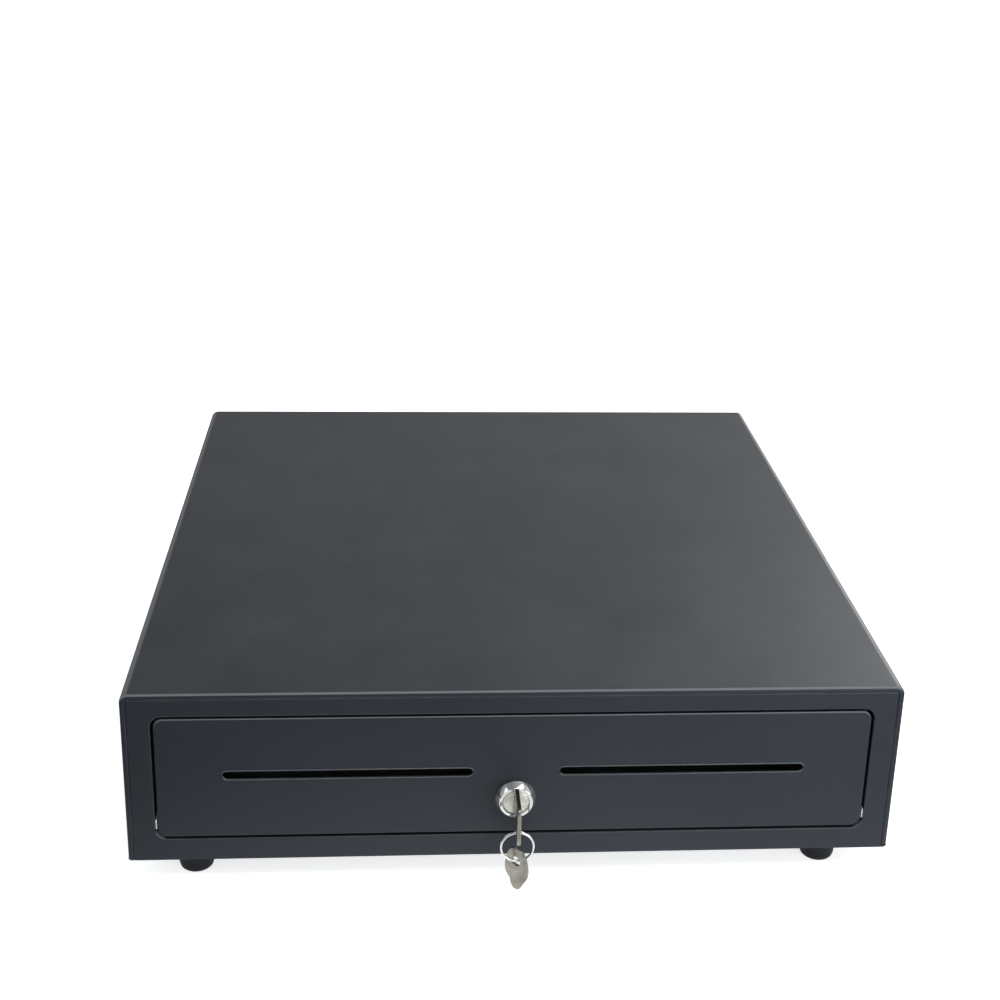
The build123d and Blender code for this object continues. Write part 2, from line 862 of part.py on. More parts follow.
nut_from = panel_sheet + pan_sheet
with BuildPart() as panel_nuts:
    with BuildSketch(across(nut_from)):
        with Locations(*[(x, up(height)) for x, height in stud_places]):
            RegularPolygon(nut_flats / 2, 6, major_radius=False)
            Circle(stud_radius, mode=Mode.SUBTRACT)
    extrude(amount=-nut_height)
save(panel_nuts, "panel_nuts")

# Lock barrel: a conical bezel in front of the panel and a threaded body through it
lock_axis = Axis((0, 0, up(lock_height)), (0, 1, 0))
with BuildPart() as lock_barrel:
    with BuildSketch(Plane.YZ):
        with BuildLine():
            Polyline(
                (back(-plug_recess), up(lock_height + plug_radius + plug_play)),
                (back(-plug_recess), up(lock_height + plug_face + plug_play)),
                (back(-bezel_front), up(lock_height + plug_face + plug_play)),
                (back(-bezel_front), up(lock_height + bezel_face)),
                (back(-bezel_rim), up(lock_height + bezel_radius)),
                (back(0), up(lock_height + bezel_radius)),
                (back(0), up(lock_height + barrel_radius)),
                (back(barrel_length), up(lock_height + barrel_radius)),
                (back(barrel_length), up(lock_height + plug_radius + plug_play)),
                close=True,
            )
        make_face()
    revolve(axis=lock_axis)
save(lock_barrel, "lock_barrel")

with BuildPart() as lock_nut:
    with BuildSketch(across(panel_sheet)):
        with Locations((0, up(lock_height))):
            RegularPolygon(lock_nut_flats / 2, 6, major_radius=False)
            Circle(barrel_radius, mode=Mode.SUBTRACT)
    extrude(amount=-lock_nut_height)
save(lock_nut, "lock_nut")

# Plug: face disc, round body, square tail for the cam and a keyway from the front
with BuildPart() as lock_plug:
    rod(plug_face, (0, -plug_recess, lock_height), (0, -1, 0), plug_face_depth)
    chamfer(lock_plug.faces().sort_by(Axis.Y)[0].edges(), length=plug_face_depth / 4)
    rod(plug_radius, (0, -plug_recess, lock_height), (0, 1, 0), barrel_length + plug_recess)
    with BuildSketch(across(barrel_length)):
        with Locations((0, up(lock_height))):
            Rectangle(plug_tail, plug_tail)
    extrude(amount=-cam_thickness)
    block(
        (-keyway_width / 2, keyway_width / 2),
        (-bezel_front, keyway_depth - bezel_front),
        (lock_height - keyway_height / 2, lock_height + keyway_height / 2),
        Mode.SUBTRACT,
    )
save(lock_plug, "lock_plug")

# Cam: a plate on the plug's tail whose pin works in the rod's fork
with BuildPart() as lock_cam:
    with BuildSketch(across(barrel_length)) as cam_shape:
        with Locations((0, up(lock_height))):
            Circle(cam_radius)
        with Locations((0, up(lock_height - cam_reach / 2))):
            Rectangle(2 * cam_pin_radius + cam_thickness, cam_reach)
        with Locations((0, up(lock_height - cam_reach))):
            Circle(cam_pin_radius + cam_thickness / 2)
        with Locations((0, up(lock_height))):
            Rectangle(plug_tail, plug_tail, mode=Mode.SUBTRACT)
    extrude(amount=-cam_thickness)
    pin_from = (0, barrel_length, lock_height - cam_reach)
    rod(cam_pin_radius, pin_from, (0, 1, 0), cam_thickness + cam_pin_length)
save(lock_cam, "lock_cam")

# Key in the lock: blade in the keyway and a flat bow with the hole for the ring
bow_from = bezel_front + bow_gap
with BuildPart() as inserted_key:
    with BuildSketch(Plane.YZ.offset(-key_sheet / 2)):
        with Locations((back(-bow_from - bow_size / 2), up(lock_height))):
            RectangleRounded(bow_size, bow_size, bow_corner)
        with Locations((back(-bow_from - blade_length / 3), up(lock_height))):
            Rectangle(
                blade_length + blade_length / 3, blade_height, align=(Align.MIN, Align.CENTER)
            )
        with Locations((back(-bow_hole_y), up(lock_height - bow_hole_drop))):
            Circle(bow_hole, mode=Mode.SUBTRACT)
    extrude(amount=key_sheet)
save(inserted_key, "inserted_key")

ring_middle = lock_height - bow_hole_drop - ring_radius
with BuildPart() as key_ring:
    with BuildSketch(Plane.XY.offset(up(ring_middle))):
        with Locations((ring_radius, back(-bow_hole_y))):
            Circle(ring_wire)
    revolve(axis=Axis((0, back(-bow_hole_y), up(ring_middle)), (0, 1, 0)))
save(key_ring, "key_ring")

# Spare key: a leaf-shaped plate, hanging from the ring and turned to it
spare_place = Plane(
    origin=(0, back(-bow_hole_y), up(ring_middle - ring_radius)),
    x_dir=(cos(radians(spare_twist)), -sin(radians(spare_twist)), 0),
    z_dir=(-sin(radians(spare_twist)), -cos(radians(spare_twist)), 0),
)
with BuildPart() as spare_key:
    with BuildSketch(spare_place):
        with BuildLine():
            Spline(
                (0, spare_top),
                (-spare_width / 3, 0.8 * spare_top),
                (-spare_width / 2, 0),
                (-spare_width / 3, -0.6 * spare_tip),
                (0, -spare_tip),
                (spare_width / 3, -0.6 * spare_tip),
                (spare_width / 2, 0),
                (spare_width / 3, 0.8 * spare_top),
                periodic=True,
            )
        make_face()
        Circle(spare_hole, mode=Mode.SUBTRACT)
    extrude(amount=spare_sheet / 2, both=True)
save(spare_key, "spare_key")

# Rod under the pan: a fork round the cam's pin in front and an arm at the latch behind
with BuildPart() as lock_rod:
    rod(rod_radius, (0, rod_start, rod_height), (0, 1, 0), rod_end - rod_start)
    with BuildSketch(across(fork_start)):
        with Locations((0, up(rod_height))):
            Circle(crank_hub)
            Rectangle(2 * crank_hub, fork_slot_start, align=(Align.CENTER, Align.MIN))
        with Locations((0, up(rod_height + fork_slot_start / 2))):
            Rectangle(2 * fork_half, fork_reach - fork_slot_start / 2, align=(Align.CENTER, Align.MIN))
        with Locations((0, up(rod_height + fork_slot_start))):
            Rectangle(fork_slot, fork_reach, align=(Align.CENTER, Align.MIN), mode=Mode.SUBTRACT)
    extrude(amount=-crank_sheet)
    with BuildSketch(across(arm_start)):
        with Locations((0, up(rod_height))):
            Circle(crank_hub)
            Rectangle(arm_reach, arm_width, align=(Align.MIN, Align.CENTER))
        with Locations((arm_reach, up(rod_height))):
            Circle(arm_width / 2)
    extrude(amount=-crank_sheet)
save(lock_rod, "lock_rod")

with BuildPart() as rod_guides:
    for share in guide_shares:
        guide_y = share * pan_rear
        block((-guide_half, guide_half), (guide_y, guide_y + guide_length), (guide_low, pan_floor))
    rod(rod_radius + rod_play, (0, rod_start, rod_height), (0, 1, 0), rod_end, Mode.SUBTRACT)
    fillet(rod_guides.edges().filter_by(Axis.Y).group_by(Axis.Z)[0], radius=rod_radius)
save(rod_guides, "rod_guides")


def spring(radius, wire, turns, pitch, start, direction):
    """A round-wire coil from the middle of its first turn's plane along a direction."""
    centre = (start[0], back(start[1]), up(start[2]))
    with BuildPart() as coil:
        with BuildLine():
            path = Helix(pitch, turns * pitch, radius, center=centre, direction=direction)
        with BuildSketch(Plane(origin=path @ 0, z_dir=path % 0)):
            Circle(wire / 2)
        sweep(is_frenet=True)
    return coil.part


# Striker: a staple on the pan's rear wall with an upright pin for the hook
with BuildPart() as striker:
    with BuildSketch(Plane.YZ.offset(-striker_half)):
        with BuildLine():
            plate_at = pan_rear + striker_sheet / 2
            FilletPolyline(
                (back(pan_rear + striker_reach), up(striker_low + striker_sheet / 2)),
                (back(plate_at), up(striker_low + striker_sheet / 2)),
                (back(plate_at), up(striker_high - striker_sheet / 2)),
                (back(pan_rear + striker_reach), up(striker_high - striker_sheet / 2)),
                radius=striker_sheet,
            )
        trace(line_width=striker_sheet)
    extrude(amount=2 * striker_half)
    rod(striker_pin, (0, striker_pin_y, striker_low), (0, 0, 1), striker_high - striker_low)
save(striker, "striker")

# Latch bracket: foot on the base, upright back, and two shelves that hold the hook's pin
with BuildPart() as latch_bracket:
    with BuildSketch(Plane.YZ.offset(latch_left)):
        with BuildLine():
            back_at = latch_back_y - latch_sheet / 2
            FilletPolyline(
                (back(latch_back_y - latch_foot), up(2 * case_sheet + latch_sheet / 2)),
                (back(back_at), up(2 * case_sheet + latch_sheet / 2)),
                (back(back_at), up(latch_top - latch_sheet / 2)),
                (back(latch_front_y), up(latch_top - latch_sheet / 2)),
                radius=latch_sheet,
            )
        trace(line_width=latch_sheet)
    extrude(amount=latch_right - latch_left)
    block((latch_left, latch_right), (latch_front_y, back_at), (latch_shelf, latch_shelf + latch_sheet))
    rod(pivot_radius, (pivot_x, pivot_y, latch_shelf - latch_sheet), (0, 0, 1), latch_top, Mode.SUBTRACT)
save(latch_bracket, "latch_bracket")

with BuildPart() as latch_pivot_pin:
    rod(pivot_radius, (pivot_x, pivot_y, latch_shelf), (0, 0, 1), latch_top - latch_shelf)
    rod(pivot_head, (pivot_x, pivot_y, latch_top), (0, 0, 1), pivot_head_height)
save(latch_pivot_pin, "latch_pivot_pin")

# Latch hook, drawn back from the striker: a lever with a tooth in front and a link pin
hook_turn = radians(hook_swing)
hook_place = Plane(
    origin=(pivot_x, back(pivot_y), up(hook_low)), x_dir=(cos(hook_turn), sin(hook_turn), 0), z_dir=(0, 0, 1)
)
hook_length = pivot_y - hook_tip
with BuildPart() as latch_hook:
    with BuildSketch(hook_place) as hook_shape:
        with Locations((hook_band_out, 0)):
            Rectangle(hook_band_in + hook_band_out, hook_length, align=(Align.MAX, Align.MAX))
        with Locations((hook_band_out, -hook_length)):
            Rectangle(tooth_reach + hook_band_out, hook_tooth, align=(Align.MAX, Align.MIN))
        Circle(hook_hub)
    extrude(amount=hook_thickness)
    fillet(
        latch_hook.edges().filter_by(Axis.Z).group_by(Axis.Y)[0],
        radius=hook_tooth / 4,
    )
    hub_from = (pivot_x, pivot_y, latch_shelf + latch_sheet + pivot_play)
    rod(hook_hub - latch_sheet, hub_from, (0, 0, 1), hook_low - latch_shelf - latch_sheet)
    rod(pivot_radius + pivot_play, (pivot_x, pivot_y, latch_shelf), (0, 0, 1), latch_top, Mode.SUBTRACT)
    link_x = pivot_x + link_drop * sin(hook_turn)
    link_y = pivot_y - link_drop * cos(hook_turn)
    link_z = hook_low + hook_thickness / 2
    rod(link_pin, (link_x, link_y, link_z - link_pin_half), (0, 0, 1), 2 * link_pin_half)
save(latch_hook, "latch_hook")

with BuildPart() as latch_spring:
    coil_from = hook_low + hook_thickness + spring_wire / 2 + pivot_play
    add(
        spring(
            latch_spring_radius, spring_wire, latch_spring_turns, latch_spring_pitch,
            (pivot_x, pivot_y, coil_from), (0, 0, 1),
        )
    )
save(latch_spring, "latch_spring")

# Solenoid: an open frame on a channel foot, a wound coil and the plunger that pulls the hook
plunger_y = (link_y + pivot_y - link_drop) / 2
left_plate = solenoid_left + solenoid_sheet / 2
right_plate = solenoid_right - solenoid_sheet / 2
solenoid_floor_at = solenoid_floor + solenoid_sheet / 2
foot_at = (solenoid_left + solenoid_right) / 2
with BuildPart() as solenoid_frame:
    with BuildSketch(across(plunger_y - solenoid_half)):
        with BuildLine():
            FilletPolyline(
                (left_plate, up(link_z + solenoid_half)),
                (left_plate, up(solenoid_floor_at)),
                (right_plate, up(solenoid_floor_at)),
                (right_plate, up(link_z + solenoid_half)),
                radius=solenoid_sheet,
            )
        trace(line_width=solenoid_sheet)
    extrude(amount=-2 * solenoid_half)
    with BuildSketch(across(plunger_y - solenoid_half)):
        with BuildLine():
            FilletPolyline(
                (foot_at - solenoid_half / 2, up(solenoid_floor)),
                (foot_at - solenoid_half / 2, up(2 * case_sheet + solenoid_sheet / 2)),
                (foot_at + solenoid_half / 2, up(2 * case_sheet + solenoid_sheet / 2)),
                (foot_at + solenoid_half / 2, up(solenoid_floor)),
                radius=solenoid_sheet,
            )
        trace(line_width=solenoid_sheet)
    extrude(amount=-2 * solenoid_half)
    plunger_bore = plunger_radius + plunger_play
    rod(plunger_bore, (solenoid_left, plunger_y, link_z), (1, 0, 0), 2 * solenoid_sheet, Mode.SUBTRACT)
save(solenoid_frame, "solenoid_frame")

with BuildPart() as solenoid_coil:
    coil_length = solenoid_right - solenoid_left - 2 * solenoid_sheet
    coil_start = (solenoid_left + solenoid_sheet, plunger_y, link_z)
    rod(coil_radius, coil_start, (1, 0, 0), coil_length)
    rod(plunger_bore, coil_start, (1, 0, 0), coil_length - solenoid_sheet, Mode.SUBTRACT)
    chamfer(
        solenoid_coil.edges().filter_by(GeomType.CIRCLE).group_by(SortBy.RADIUS)[-1],
        length=solenoid_sheet / 3,
    )
save(solenoid_coil, "solenoid_coil")

with BuildPart() as solenoid_plunger:
    nose_x = link_x - plunger_nose
    rod(plunger_radius, (nose_x, plunger_y, link_z), (1, 0, 0), plunger_length)
    block(
        (nose_x, nose_x + plunger_slot_length),
        (plunger_y - plunger_radius, plunger_y + plunger_radius),
        (link_z - plunger_slot / 2, link_z + plunger_slot / 2),
        Mode.SUBTRACT,
    )
    hole_from = (link_x, plunger_y, link_z - plunger_radius)
    rod(plunger_hole, hole_from, (0, 0, 1), 2 * plunger_radius, Mode.SUBTRACT)
save(solenoid_plunger, "solenoid_plunger")

# Ejector: a sprung plunger in a tube that pushes the drawer open
ejector_place = (ejector_x, ejector_front_y, ejector_height)
with BuildPart() as ejector_guide:
    rod(ejector_tube, ejector_place, (0, 1, 0), base_rear - ejector_front_y)
    rod(
        ejector_bore,
        (ejector_x, ejector_front_y + ejector_wall, ejector_height),
        (0, 1, 0),
        base_rear - ejector_front_y - 2 * ejector_wall,
        Mode.SUBTRACT,
    )
    rod(ejector_shaft + ejector_gap, ejector_place, (0, 1, 0), 2 * ejector_wall, Mode.SUBTRACT)
    web_spans = (ejector_front_y + ejector_tube, latch_back_y)
    block(
        (ejector_x - ejector_wall, ejector_x + ejector_wall),
        web_spans,
        (2 * case_sheet, ejector_height - (ejector_tube + ejector_bore) / 2),
    )
    block(
        (ejector_x - ejector_tube, ejector_x + ejector_tube),
        web_spans,
        (2 * case_sheet, 2 * case_sheet + ejector_wall),
    )
save(ejector_guide, "ejector_guide")

with BuildPart() as ejector_plunger:
    head_y = pan_rear + ejector_gap
    rod(ejector_head, (ejector_x, head_y, ejector_height), (0, 1, 0), ejector_head_thick)
    fillet(ejector_plunger.faces().sort_by(Axis.Y)[0].edges(), radius=ejector_head_thick / 3)
    rod(
        ejector_shaft,
        (ejector_x, head_y, ejector_height),
        (0, 1, 0),
        collar_y + ejector_collar_thick - head_y,
    )
    rod(
        ejector_bore - ejector_gap,
        (ejector_x, collar_y, ejector_height),
        (0, 1, 0),
        ejector_collar_thick,
    )
save(ejector_plunger, "ejector_plunger")

with BuildPart() as ejector_spring:
    coil_room = base_rear - ejector_wall - collar_y - ejector_collar_thick
    coil_pitch = (coil_room - 2 * spring_wire) / ejector_spring_turns
    coil_from = (ejector_x, collar_y + ejector_collar_thick + spring_wire, ejector_height)
    add(
        spring(
            ejector_spring_radius, spring_wire, ejector_spring_turns, coil_pitch, coil_from, (0, 1, 0)
        )
    )
save(ejector_spring, "ejector_spring")

# Status switch: a small body on a post, its roller close to the pan's rear wall
with BuildPart() as status_switch:
    block(
        (switch_x - switch_width / 2, switch_x + switch_width / 2),
        (switch_y, switch_y + switch_depth),
        (switch_low, switch_low + switch_height),
    )
    block(
        (switch_x - switch_post, switch_x + switch_post),
        (switch_y + switch_depth / 4, switch_y + 3 * switch_depth / 4),
        (2 * case_sheet, switch_low),
    )
    roller_y = pan_rear + ejector_gap + switch_roller
    with BuildSketch(Plane.XY.offset(up(switch_low + switch_height / 3))):
        with BuildLine():
            FilletPolyline(
                (switch_x - switch_width / 3, back(switch_y + switch_blade)),
                (switch_x - switch_width / 3, back((roller_y + 3 * switch_y) / 4)),
                (switch_x + switch_width / 3, back(roller_y)),
                radius=switch_blade,
            )
        trace(line_width=switch_blade)
        with Locations((switch_x + switch_width / 3, back(roller_y))):
            Circle(switch_roller)
    extrude(amount=switch_height / 3)
save(status_switch, "status_switch")

# Six-way cable socket in the rear panel and the lead from it to the solenoid
with BuildPart() as jack_socket:
    jack_front = panel_y[1] - jack_length
    block(jack_spans[0], (jack_front, panel_y[1]), jack_spans[1])
    gap_low = jack_height - jack_gap_tall / 2
    gap_y = (panel_y[1] - jack_gap_depth, panel_y[1])
    gap_x = (jack_x - jack_gap_width / 2, jack_x + jack_gap_width / 2)
    notch_x = (jack_x - jack_notch_width / 2, jack_x + jack_notch_width / 2)
    block(gap_x, gap_y, (gap_low, gap_low + jack_gap_tall), Mode.SUBTRACT)
    block(notch_x, gap_y, (gap_low - jack_notch_tall, gap_low), Mode.SUBTRACT)
save(jack_socket, "jack_socket")

lead_height = jack_height - jack_gap_tall / 2
lead_run = 2 * solenoid_half
with BuildPart() as solenoid_lead:
    with BuildLine():
        lead_path = FilletPolyline(
            (jack_x, back(jack_front), up(lead_height)),
            (jack_x, back(jack_front - lead_run), up(lead_height)),
            (solenoid_right, back(jack_front - lead_run), up(lead_height)),
            radius=0.45 * lead_run,
        )
    with BuildSketch(Plane(origin=lead_path @ 0, z_dir=lead_path % 0)):
        Circle(lead_radius)
    sweep()
save(solenoid_lead, "solenoid_lead")

# Cash tray: a moulded box with a rim that rests on the pan's lips
tray_inner_half = tray_half - tray_wall
tray_box = (tray_front + tray_end_rim, tray_rear - tray_end_rim)
floor_top = tray_floor + tray_floor_thick
clip_places = [clip_step * (index - (compartments - 1) / 2) for index in range(compartments)]
divider_places = [clip_step * (index - divider_count / 2 + 0.5) for index in range(divider_count)]
with BuildPart() as cash_tray:
    with BuildSketch(Plane.XY.offset(up(tray_floor))):
        with Locations((0, back(sum(tray_box) / 2))):
            RectangleRounded(2 * tray_half, tray_box[1] - tray_box[0], tray_corner)
    extrude(amount=tray_rim_top - tray_floor)
    fillet(cash_tray.faces().sort_by(Axis.Z)[0].edges(), radius=tray_floor_thick)
    with BuildSketch(Plane.XY.offset(up(tray_rim_low))):
        with Locations((0, back((tray_front + tray_rear) / 2))):
            RectangleRounded(2 * tray_rim_half, tray_rear - tray_front, tray_corner)
    extrude(amount=tray_rim_thick)
    fillet(cash_tray.faces().sort_by(Axis.Z)[-1].edges(), radius=tray_rim_thick / 3)
    with BuildSketch(Plane.XY.offset(up(floor_top))):
        with Locations((0, back(sum(tray_box) / 2))):
            RectangleRounded(
                2 * tray_inner_half, tray_box[1] - tray_box[0] - 2 * tray_wall, tray_corner - tray_wall
            )
    extrude(amount=tray_rim_top, mode=Mode.SUBTRACT)
    with BuildSketch(across(tray_front)):
        with Locations(*slot_places):
            SlotOverall(slot_length, slot_gap)
    extrude(amount=-tray_end_rim - 2 * tray_wall, mode=Mode.SUBTRACT)
    for x in clip_places:
        rod(boss_radius, (x, bar_screw_y, floor_top), (0, 0, 1), tray_rim_top - floor_top)
        for side_x in side_names:
            run = Vector(side_x * (rib_rear_half - rib_front_half), rib_rear - rib_front, 0)
            along = run.normalized()
            rib_place = Plane(
                origin=(x + side_x * rib_front_half, back(rib_front), up(floor_top)),
                x_dir=along,
                z_dir=along.cross(Vector(0, 0, 1)),
            )
            with BuildSketch(rib_place.offset(-rib_sheet / 2)):
                Polygon((0, 0), (run.length, 0), (run.length, rib_height), align=None)
            extrude(amount=rib_sheet)
    for x in clip_places:
        rod(screw_radius, (x, bar_screw_y, floor_top + screw_length), (0, 0, 1), tray_rim_top, Mode.SUBTRACT)
save(cash_tray, "cash_tray")

# Coin cups: one removable moulding with two rows of scooped pockets
cup_half = tray_inner_half - ear_play
cup_pitch = 2 * cup_half / coin_columns
row_pitch = (coin_rear - coin_front) / coin_rows
coin_scoop = 0.2712 * row_pitch
cup_xs = [cup_pitch * (index - (coin_columns - 1) / 2) for index in range(coin_columns)]
row_ys = [coin_front + row_pitch * (index + 0.5) for index in range(coin_rows)]
with BuildPart() as pocket_cutter:
    with BuildSketch(Plane.YZ.offset(coin_wall - cup_pitch / 2)) as pocket:
        with Locations((0, coin_wall)):
            Rectangle(
                row_pitch - 2 * coin_wall, coin_top - floor_top + coin_scoop, align=(Align.CENTER, Align.MIN)
            )
        fillet(pocket.vertices().group_by(Axis.Y)[0], radius=coin_scoop)
    extrude(amount=cup_pitch - 2 * coin_wall)
    for end in (0, -1):
        fillet(pocket_cutter.faces().sort_by(Axis.X)[end].edges(), radius=2 * coin_wall)
with BuildPart() as coin_cups:
    for depth in row_ys:
        with BuildSketch(Plane.YZ.offset(-cup_half)) as cup_row:
            with Locations((back(depth), up(floor_top))):
                Rectangle(row_pitch, coin_top - floor_top, align=(Align.CENTER, Align.MIN))
            fillet(cup_row.vertices().group_by(Axis.Y)[0], radius=coin_scoop)
        extrude(amount=2 * cup_half)
    deck_y = (tray_box[0] + tray_wall + ear_play, coin_rear)
    block((-cup_half, cup_half), deck_y, (coin_top - coin_wall, coin_top))
    fillet(coin_cups.edges().filter_by(Axis.Z).group_by(Axis.Y)[0], radius=tray_corner - tray_wall)
    with Locations(*[(x, back(depth), up(floor_top)) for x in cup_xs for depth in row_ys]):
        add(pocket_cutter.part, mode=Mode.SUBTRACT)
    with BuildSketch(across(coin_front)):
        for side_x in (-1, 1):
            with BuildLine():
                Polyline(
                    (side_x * cup_half, up(floor_top + coin_relief)),
                    (side_x * (cup_half - coin_relief), up(floor_top)),
                    (side_x * cup_half, up(floor_top)),
                    close=True,
                )
            make_face()
    extrude(amount=coin_front - coin_rear, mode=Mode.SUBTRACT)
save(coin_cups, "coin_cups")

# Bill dividers: four plates across the note half, lower where they pass under the bar
pin_clear = pin_height - clip_hub - divider_sheet
with BuildPart() as bill_dividers:
    for x in divider_places:
        with BuildSketch(Plane.YZ.offset(x - divider_sheet / 2)):
            with BuildLine():
                front_at, step_at = coin_rear + coin_wall, bar_front - notch_round
                Line((back(front_at), up(divider_top - divider_round)), (back(front_at), up(floor_top)))
                Line((back(front_at), up(floor_top)), (back(tray_box[1] - tray_wall), up(floor_top)))
                Polyline(
                    (back(tray_box[1] - tray_wall), up(floor_top)),
                    (back(tray_box[1] - tray_wall), up(pin_clear)),
                    (back(step_at), up(pin_clear)),
                    (back(step_at), up(divider_top)),
                    (back(front_at + divider_round), up(divider_top)),
                )
                RadiusArc(
                    (back(front_at + divider_round), up(divider_top)),
                    (back(front_at), up(divider_top - divider_round)),
                    -divider_round,
                )
            make_face()
        extrude(amount=divider_sheet)
save(bill_dividers, "bill_dividers")

# Clip bar: a folded steel strip over the rear of the tray, notched for clips and dividers
bar_half = tray_inner_half - bar_end_gap
bar_low = tray_rim_top - bar_drop
bar_top = tray_rim_top + bar_sheet
handle_height = bar_top + handle_thick / 2 + hole_play
with BuildPart() as clip_bar:
    with BuildSketch(Plane.YZ.offset(-bar_half)):
        with BuildLine():
            FilletPolyline(
                (back(tray_rear), up(tray_rim_top + bar_sheet / 2)),
                (back(bar_front + bar_sheet / 2), up(tray_rim_top + bar_sheet / 2)),
                (back(bar_front + bar_sheet / 2), up(bar_low)),
                radius=bar_sheet,
            )
        trace(line_width=bar_sheet)
    extrude(amount=2 * bar_half)
    with BuildSketch(across(bar_front - bar_sheet)):
        with Locations(*[(x, up(bar_low)) for x in clip_places]):
            SlotOverall(2 * notch_depth, 2 * notch_half, rotation=90)
        with Locations(*[(x, up(bar_low)) for x in divider_places]):
            SlotOverall(2 * (pin_clear + divider_sheet - bar_low), 2 * divider_sheet, rotation=90)
    extrude(amount=-3 * bar_sheet, mode=Mode.SUBTRACT)
    for x in clip_places:
        for side_x in side_names:
            lug = x + side_x * (clip_hub_half + 2 * bar_sheet)
            block(
                (lug - bar_sheet / 2, lug + bar_sheet / 2),
                (pin_y - clip_hub, pin_y + clip_hub),
                (pin_height - clip_hub, tray_rim_top),
            )
        rod(screw_radius, (x, bar_screw_y, tray_rim_top), (0, 0, 1), bar_sheet, Mode.SUBTRACT)
    for side_x in side_names:
        ear_x = side_x * (handle_half + handle_thick / 2 + ear_play + bar_sheet / 2)
        block(
            (ear_x - bar_sheet / 2, ear_x + bar_sheet / 2),
            (handle_y - ear_width, handle_y + ear_width),
            (bar_top - bar_sheet / 2, handle_height + ear_width / 2),
        )
    rod(pin_radius, (-bar_half, pin_y, pin_height), (1, 0, 0), 2 * bar_half, Mode.SUBTRACT)
    ear_hole = ear_pin + pin_play
    rod(ear_hole, (-bar_half, handle_y, handle_height), (1, 0, 0), 2 * bar_half, Mode.SUBTRACT)
save(clip_bar, "clip_bar")

with BuildPart() as bar_screws:
    for x in clip_places:
        rod(screw_radius, (x, bar_screw_y, tray_rim_top - screw_length), (0, 0, 1), screw_length + bar_sheet)
        rod(screw_head_radius, (x, bar_screw_y, bar_top), (0, 0, 1), bar_screw_head)
    fillet(bar_screws.faces().sort_by(Axis.Z)[-compartments:].edges(), radius=bar_screw_head / 2)
save(bar_screws, "bar_screws")

with BuildPart() as clip_pin:
    rod(pin_radius, (-tray_inner_half, pin_y, pin_height), (1, 0, 0), 2 * tray_inner_half)
save(clip_pin, "clip_pin")

# Bill clips: a wire fork on a turned hub, resting near the compartment's floor
clip_lean = radians(clip_droop)
for index, x in enumerate(clip_places):
    clip_place = Plane(
        origin=(x, back(pin_y), up(pin_height)), x_dir=(1, 0, 0), z_dir=(0, sin(clip_lean), -cos(clip_lean))
    )
    with BuildPart() as bill_clip:
        with BuildLine(clip_place) as fork:
            Line((-clip_half, clip_reach), (-clip_half, clip_stem + clip_half))
            ThreePointArc(
                (-clip_half, clip_stem + clip_half), (0, clip_stem), (clip_half, clip_stem + clip_half)
            )
            Line((clip_half, clip_stem + clip_half), (clip_half, clip_reach))
        with BuildSketch(Plane(origin=fork.wires()[0] @ 0, z_dir=fork.wires()[0] % 0)):
            Circle(clip_wire)
        sweep()
        toward = (0, -cos(clip_lean), -sin(clip_lean))
        rod(clip_wire, (x, pin_y, pin_height), toward, clip_stem)
        bore_from = (x - clip_hub_half, pin_y, pin_height)
        rod(clip_hub, bore_from, (1, 0, 0), 2 * clip_hub_half)
        rod(pin_radius + pin_play, bore_from, (1, 0, 0), 2 * clip_hub_half, Mode.SUBTRACT)
    save(bill_clip, f"bill_clip_{index + 1}")

with BuildPart() as clip_springs:
    for x in clip_places:
        coil_from = (x + clip_wire + clip_spring_wire, pin_y, pin_height)
        add(
            spring(
                clip_spring_radius, clip_spring_wire, clip_spring_turns, 2 * clip_spring_wire,
                coil_from, (1, 0, 0),
            )
        )
save(clip_springs, "clip_springs")

# Tray handle: a bail in the bar's ears, lying back over the pan's rear wall
with BuildPart() as tray_handle:
    with BuildLine(Plane.XY.offset(up(handle_height))):
        bail = FilletPolyline(
            (-handle_half, back(handle_y)),
            (-handle_half, back(handle_y + handle_reach)),
            (handle_half, back(handle_y + handle_reach)),
            (handle_half, back(handle_y)),
            radius=handle_bend,
        )
    with BuildSketch(Plane(origin=bail @ 0, z_dir=bail % 0)):
        Circle(handle_thick / 2)
    sweep()
    for side_x in side_names:
        with Locations((side_x * handle_half, back(handle_y), up(handle_height))):
            Sphere(handle_thick / 2)
        rod(
            ear_pin,
            (side_x * handle_half, handle_y, handle_height),
            (side_x, 0, 0),
            handle_thick / 2 + ear_play + 2 * bar_sheet,
        )
save(tray_handle, "tray_handle")
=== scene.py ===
# %% [markdown]
# # A cash drawer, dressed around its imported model
#
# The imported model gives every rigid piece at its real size: sheet metal, slides, lock, latch and tray.
# This script adds what a model of plain solids lacks: the finish of each surface, the small turned,
# stamped and bent details, and the light. Everything is in metres, in the model's own frame.

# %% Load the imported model
import json
import math

import bmesh
import bpy
from mathutils import Matrix, Vector


